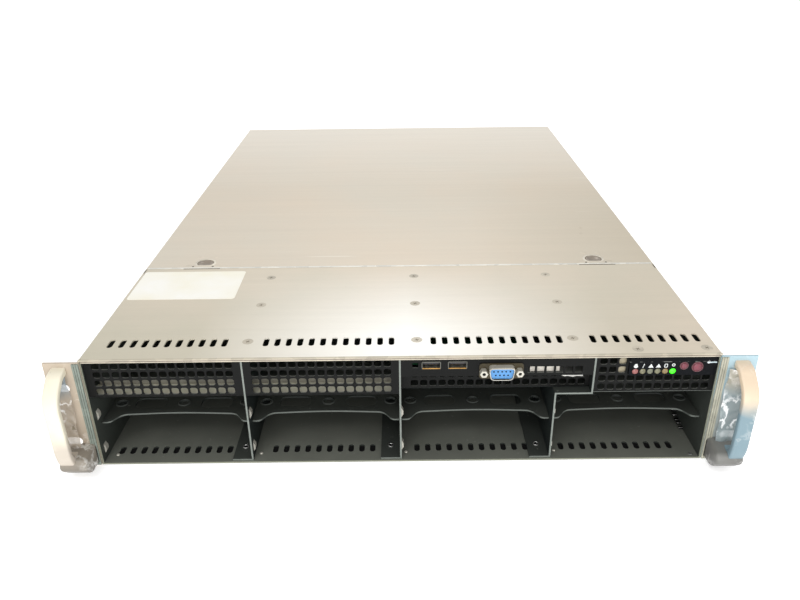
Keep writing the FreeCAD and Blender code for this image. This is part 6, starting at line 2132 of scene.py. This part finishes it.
@dataclass
class Ears(Assembly):
    """The pull handles, the film left on them, and the layered strips beside the ears.

    Attributes:
        face: Where the ears' front face is.
        inner: The strap's inner side, from the middle.
        outer: Its outer side.
        front: The strap's outer outline in Y and Z, with the radius of each corner.
        back: Its inner outline.
        foot: The wrapped foot's outline.
        foot_inner: The foot's inner side, from the middle.
        strips_from: Where each of the thin strips starts, from the middle.
        strip: A strip's width.
    """

    face: float = -1.5
    inner: float = 225.8
    outer: float = 236.3
    front: tuple[Place, ...] = (
        (-1.5, 83.6, 0.0),
        (-10.0, 82.6, 12.0),
        (-24.9, 70.0, 20.0),
        (-24.6, 22.0, 30.0),
        (-15.0, 4.8, 8.0),
        (-1.5, 4.4, 0.0),
    )
    back: tuple[Place, ...] = (
        (-1.5, 19.0, 0.0),
        (-19.6, 21.0, 7.0),
        (-19.9, 68.0, 16.0),
        (-8.5, 77.6, 9.0),
        (-1.5, 78.6, 0.0),
    )
    foot: tuple[Place, ...] = (
        (-1.5, 3.6, 0.5),
        (-14.0, 3.8, 6.0),
        (-23.4, 13.0, 5.0),
        (-20.0, 19.5, 4.0),
        (-1.5, 20.5, 1.0),
    )
    foot_inner: float = 217.6
    strips_from: tuple[float, ...] = (216.9, 218.5, 220.1)
    strip: float = 1.35

    def build(self) -> None:
        """Build both sides."""
        self.handle("left", -1.0, HANDLE_LEFT, FOOT_LEFT)
        self.film("left", -226.2, -9.6, FILM_LEFT)
        # a darker triangle on the left film: painted shade for the hole in the ear behind it
        hole_shade = Stock().plate([[(-228.6, 37.2), (-225.6, 37.2), (-227.2, 40.6)]], -8.4, -8.2, Axis.Y)
        mount(hole_shade, "film_tear", SOFT_MARK, "ear_plastic")
        self.strips("left", -1.0, STRIP_LEFT)
        self.handle("right", 1.0, HANDLE_RIGHT, FOOT_RIGHT)
        self.film("right", 222.2, 13.6, FILM_RIGHT)
        self.strips("right", 1.0, STRIP_RIGHT)

    def handle(self, side: str, sign: float, paint: Finish, wrap: Finish) -> None:
        """Build a handle and its wrapped foot.

        Args:
            side: The side it is on.
            sign: -1 on the left, 1 on the right.
            paint: The strap's finish.
            wrap: The foot's finish.
        """
        low, high = sorted((sign * self.inner, sign * self.outer))
        strap = Stock().plate([eased([*self.front, *self.back], 10)], low, high, Axis.X, bevel=1.3)
        mount(strap, f"{side}_strap", paint, "ear_plastic", f"{side}_handle", crease=50.0)
        low, high = sorted((sign * self.foot_inner, sign * (self.outer + 0.7)))
        shoe = Stock().plate([eased(self.foot)], low, high, Axis.X, bevel=2.4)
        mount(shoe, f"{side}_foot", wrap, "ear_plastic", crease=50.0)

    def film(self, side: str, start: float, width: float, finish: Finish) -> None:
        """Build the film that hangs in a handle's window.

        Args:
            side: The side it is on.
            start: Where its inner edge is.
            width: How far it reaches from there, less than zero to the left.
            finish: Its finish.
        """

        def place(across: float, up: float) -> Place:
            """Return the place of a point of the film, given its shares across and up."""
            long = 1.3 * math.sin(7.0 * up + 3.0 * across)
            waves = long + 0.8 * math.sin(23.0 * up - 5.0 * across)
            return start + width * across, -4.6 - waves - 3.0 * across, 14.0 + 65.0 * up

        sheet = Stock().curtain(place, 12, 48, 0.12)
        mount(sheet, f"{side}_film", finish, "ear_plastic", crease=80.0)

    def strips(self, side: str, sign: float, finish: Finish) -> None:
        """Build the thin steel strips between the chassis and an ear.

        Args:
            side: The side they are on.
            sign: -1 on the left, 1 on the right.
            finish: Their finish.
        """
        ear, stock = span(f"{side}_ear"), Stock()
        bottom, top = ear.low.z + 0.6, ear.high.z - 0.6
        for start in self.strips_from:
            low, high = sorted((sign * start, sign * (start + self.strip)))
            stock.block((low, self.face - 1.1, bottom), (high, self.face + 0.3, top), 0.2)
        mount(stock, f"{side}_strips", finish, "ear_steel")


@dataclass
class Rear(Assembly):
    """The fan guards of the power supplies, at the rear.

    Attributes:
        rings: The radii of a guard's rings.
        wire: The radius of a ring's wire.
        reach: How far the crossed bars reach from the guard's centre.
    """

    rings: tuple[float, ...] = (12.6, 9.4, 6.2, 3.2)
    wire: float = 0.4
    reach: float = 14.5

    def build(self) -> None:
        """Build both guards."""
        for level in ("lower", "upper"):
            self.guard(level)

    def guard(self, level: str) -> None:
        """Build a power supply's fan guard.

        Args:
            level: Which of the two supplies it is on.
        """
        face, centre = span(f"psu_{level}_case").high.y, span(f"psu_{level}_fan").middle
        guard, wire = Stock(), self.wire
        for radius in self.rings:
            section = [(radius - wire, -0.35), (radius, 0.05)]
            section += [(radius + wire, -0.35), (radius, -0.75)]
            place = (centre.x, face, centre.z)
            guard.turned([*section, section[0]], place, Axis.Y, 36, capped=False)
        for angle in (math.radians(45.0), math.radians(135.0)):
            half = Vector((math.cos(angle), 0, math.sin(angle))) * self.reach
            middle = Vector((centre.x, face - 0.5, centre.z))
            guard.sweep([tuple(middle - half), tuple(middle + half)], 0.45, 8)
        mount(guard, f"{level}_fan_guard", PLATED, "bright_steel", body=f"{level}_supply")


@dataclass
class Dressing:
    """The finishes of the CAD nodes that are shown as they are.

    Attributes:
        finishes: The finish of each node; any other node is bright steel.
    """

    finishes: dict[str, Finish]

    def build(self) -> None:
        """Give every node its finish."""
        for name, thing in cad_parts.items():
            finish = self.finishes.get(name, STEEL)
            thing.data.materials.clear()
            thing.data.materials.append(finish.material())
            thing.data.polygons.foreach_set("material_index", [0] * len(thing.data.polygons))


NODES_BY_FINISH: tuple[tuple[Finish, tuple[str, ...]], ...] = (
    (FLOOR_SHEET, ("chassis_tray",)),
    (CAGE, ("divider_left", "divider_middle", "divider_right")),
    (PANEL, ("io_tray_panel",)),
    (EAR_LEFT, ("left_ear",)),
    (EAR_RIGHT, ("right_ear",)),
    (CIRCUIT, ("backplane_board", "control_panel_board", "front_io_board", "motherboard")),
    (CIRCUIT, ("power_distribution_board", "memory_modules")),
    (BLACK, ("drive_connectors", "fan_frames", "psu_lower_handle", "psu_upper_handle")),
    (GREY_PLASTIC, ("fan_rotor_left", "fan_rotor_middle", "fan_rotor_right")),
    (GREY_PLASTIC, ("psu_lower_fan", "psu_upper_fan")),
    (HOUSING, ("fan_wall",)),
    (FIN, ("cpu_heatsinks",)),
    (SHROUD, ("air_shroud",)),
    (GREEN_LEVER, ("psu_lower_latch", "psu_upper_latch")),
    (PLATED, ("bay_springs", "rail_studs", "handle_screws")),
    (GOLD, ("motherboard_standoffs",)),
)


@dataclass(frozen=True)
class Softbox:
    """A round soft lamp that faces the server.

    Attributes:
        name: Its name.
        place: Where it is, in metres.
        size: Its width, in metres.
        power: Its power, in watts.
    """

    name: str
    place: Place
    size: float
    power: float

    def build(self) -> None:
        """Add the lamp to the scene."""
        data = bpy.data.lights.new(self.name, "AREA")
        data.shape = "DISK"
        data.size = self.size
        data.energy = self.power
        lamp = bpy.data.objects.new(self.name, data)
        lamp.location = self.place
        lamp.rotation_mode = "QUATERNION"
        lamp.rotation_quaternion = (Vector(LIT_SPOT) - Vector(self.place)).to_track_quat("-Z", "Y")
        bpy.context.scene.collection.objects.link(lamp)


LIT_SPOT: Place = (0.0, 0.1, 0.05)
LAMPS = (
    Softbox("key", (-0.5, -0.9, 1.5), 0.8, 6.5),
    Softbox("fill", (1.2, -0.6, 0.9), 0.9, 2.0),
    Softbox("sheen", (0.0, 1.3, 1.25), 0.6, 4.0),
    Softbox("bay", (0.0, -1.3, 0.32), 0.9, 9.0),
)


@dataclass
class Studio:
    """The camera, the floor, the backdrop and the lamps.

    Attributes:
        place: Where the camera is, in metres.
        turn: Its turn about X, Y and Z, in radians.
        lens: Its focal length, in millimetres.
        sensor: The width of its sensor, in millimetres.
        reach: How far the floor reaches from the middle, in millimetres.
    """

    place: Place = (0.001961, -0.425378, 0.344134)
    turn: Place = (1.10656, 0.0111683, -0.00257664)
    lens: float = 33.07
    sensor: float = 36.0
    reach: float = 30000.0

    def build(self) -> None:
        """Build the studio."""
        self.camera()
        self.floor()
        self.world()
        for lamp in LAMPS:
            lamp.build()
        bpy.context.scene.view_settings.view_transform = "Standard"

    def camera(self) -> None:
        """Set the camera."""
        data = bpy.data.cameras.new("camera")
        data.lens = self.lens
        data.sensor_width = self.sensor
        data.clip_start = 0.01
        camera = bpy.data.objects.new("camera", data)
        camera.location = self.place
        camera.rotation_euler = Euler(self.turn)
        bpy.context.scene.collection.objects.link(camera)
        bpy.context.scene.camera = camera

    def floor(self) -> None:
        """Build the pale floor and the dark patch of painted shadow under the case."""
        sheet = Stock().block((-self.reach, -self.reach, -12), (self.reach, self.reach, -0.3))
        sheet.piece("floor", FLOOR)
        case = span("chassis_tray")
        shade = Stock().block((case.low.x + 5, 3, -0.25), (case.high.x - 5, case.high.y - 8, -0.1))
        shade.piece("shade_under_the_case", SHADE)

    def world(self) -> None:
        """Light the scene softly from all round, over a white backdrop."""
        world = bpy.data.worlds.new("studio")
        world.use_nodes = True
        world.node_tree.nodes.clear()
        graph = Graph(world.node_tree)
        seen = graph.node("ShaderNodeLightPath", out="Is Camera Ray")
        glossy, through = seen.output("Is Glossy Ray"), seen.output("Is Transmission Ray")
        strength = (seen + glossy * 0.35 + through).clamped() * 0.35 + 0.65
        back = graph.node("ShaderNodeBackground", inputs={"Color": WHITE, "Strength": strength})
        graph.node("ShaderNodeOutputWorld", inputs={"Surface": back})
        bpy.context.scene.world = world


def main() -> None:
    """Build the scene."""
    logging.basicConfig(level=logging.INFO, format="%(name)s: %(message)s")
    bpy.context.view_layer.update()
    Dressing({node: finish for finish, nodes in NODES_BY_FINISH for node in nodes}).build()
    shop = Workshop()
    for assembly in (Covers, DriveCage, Grilles, PortTray, ControlPanel, Ears, Rear):
        assembly(shop).build()
        LOG.info("%s built", assembly.__name__)
    Studio().build()


if __name__ == "__main__":
    main()
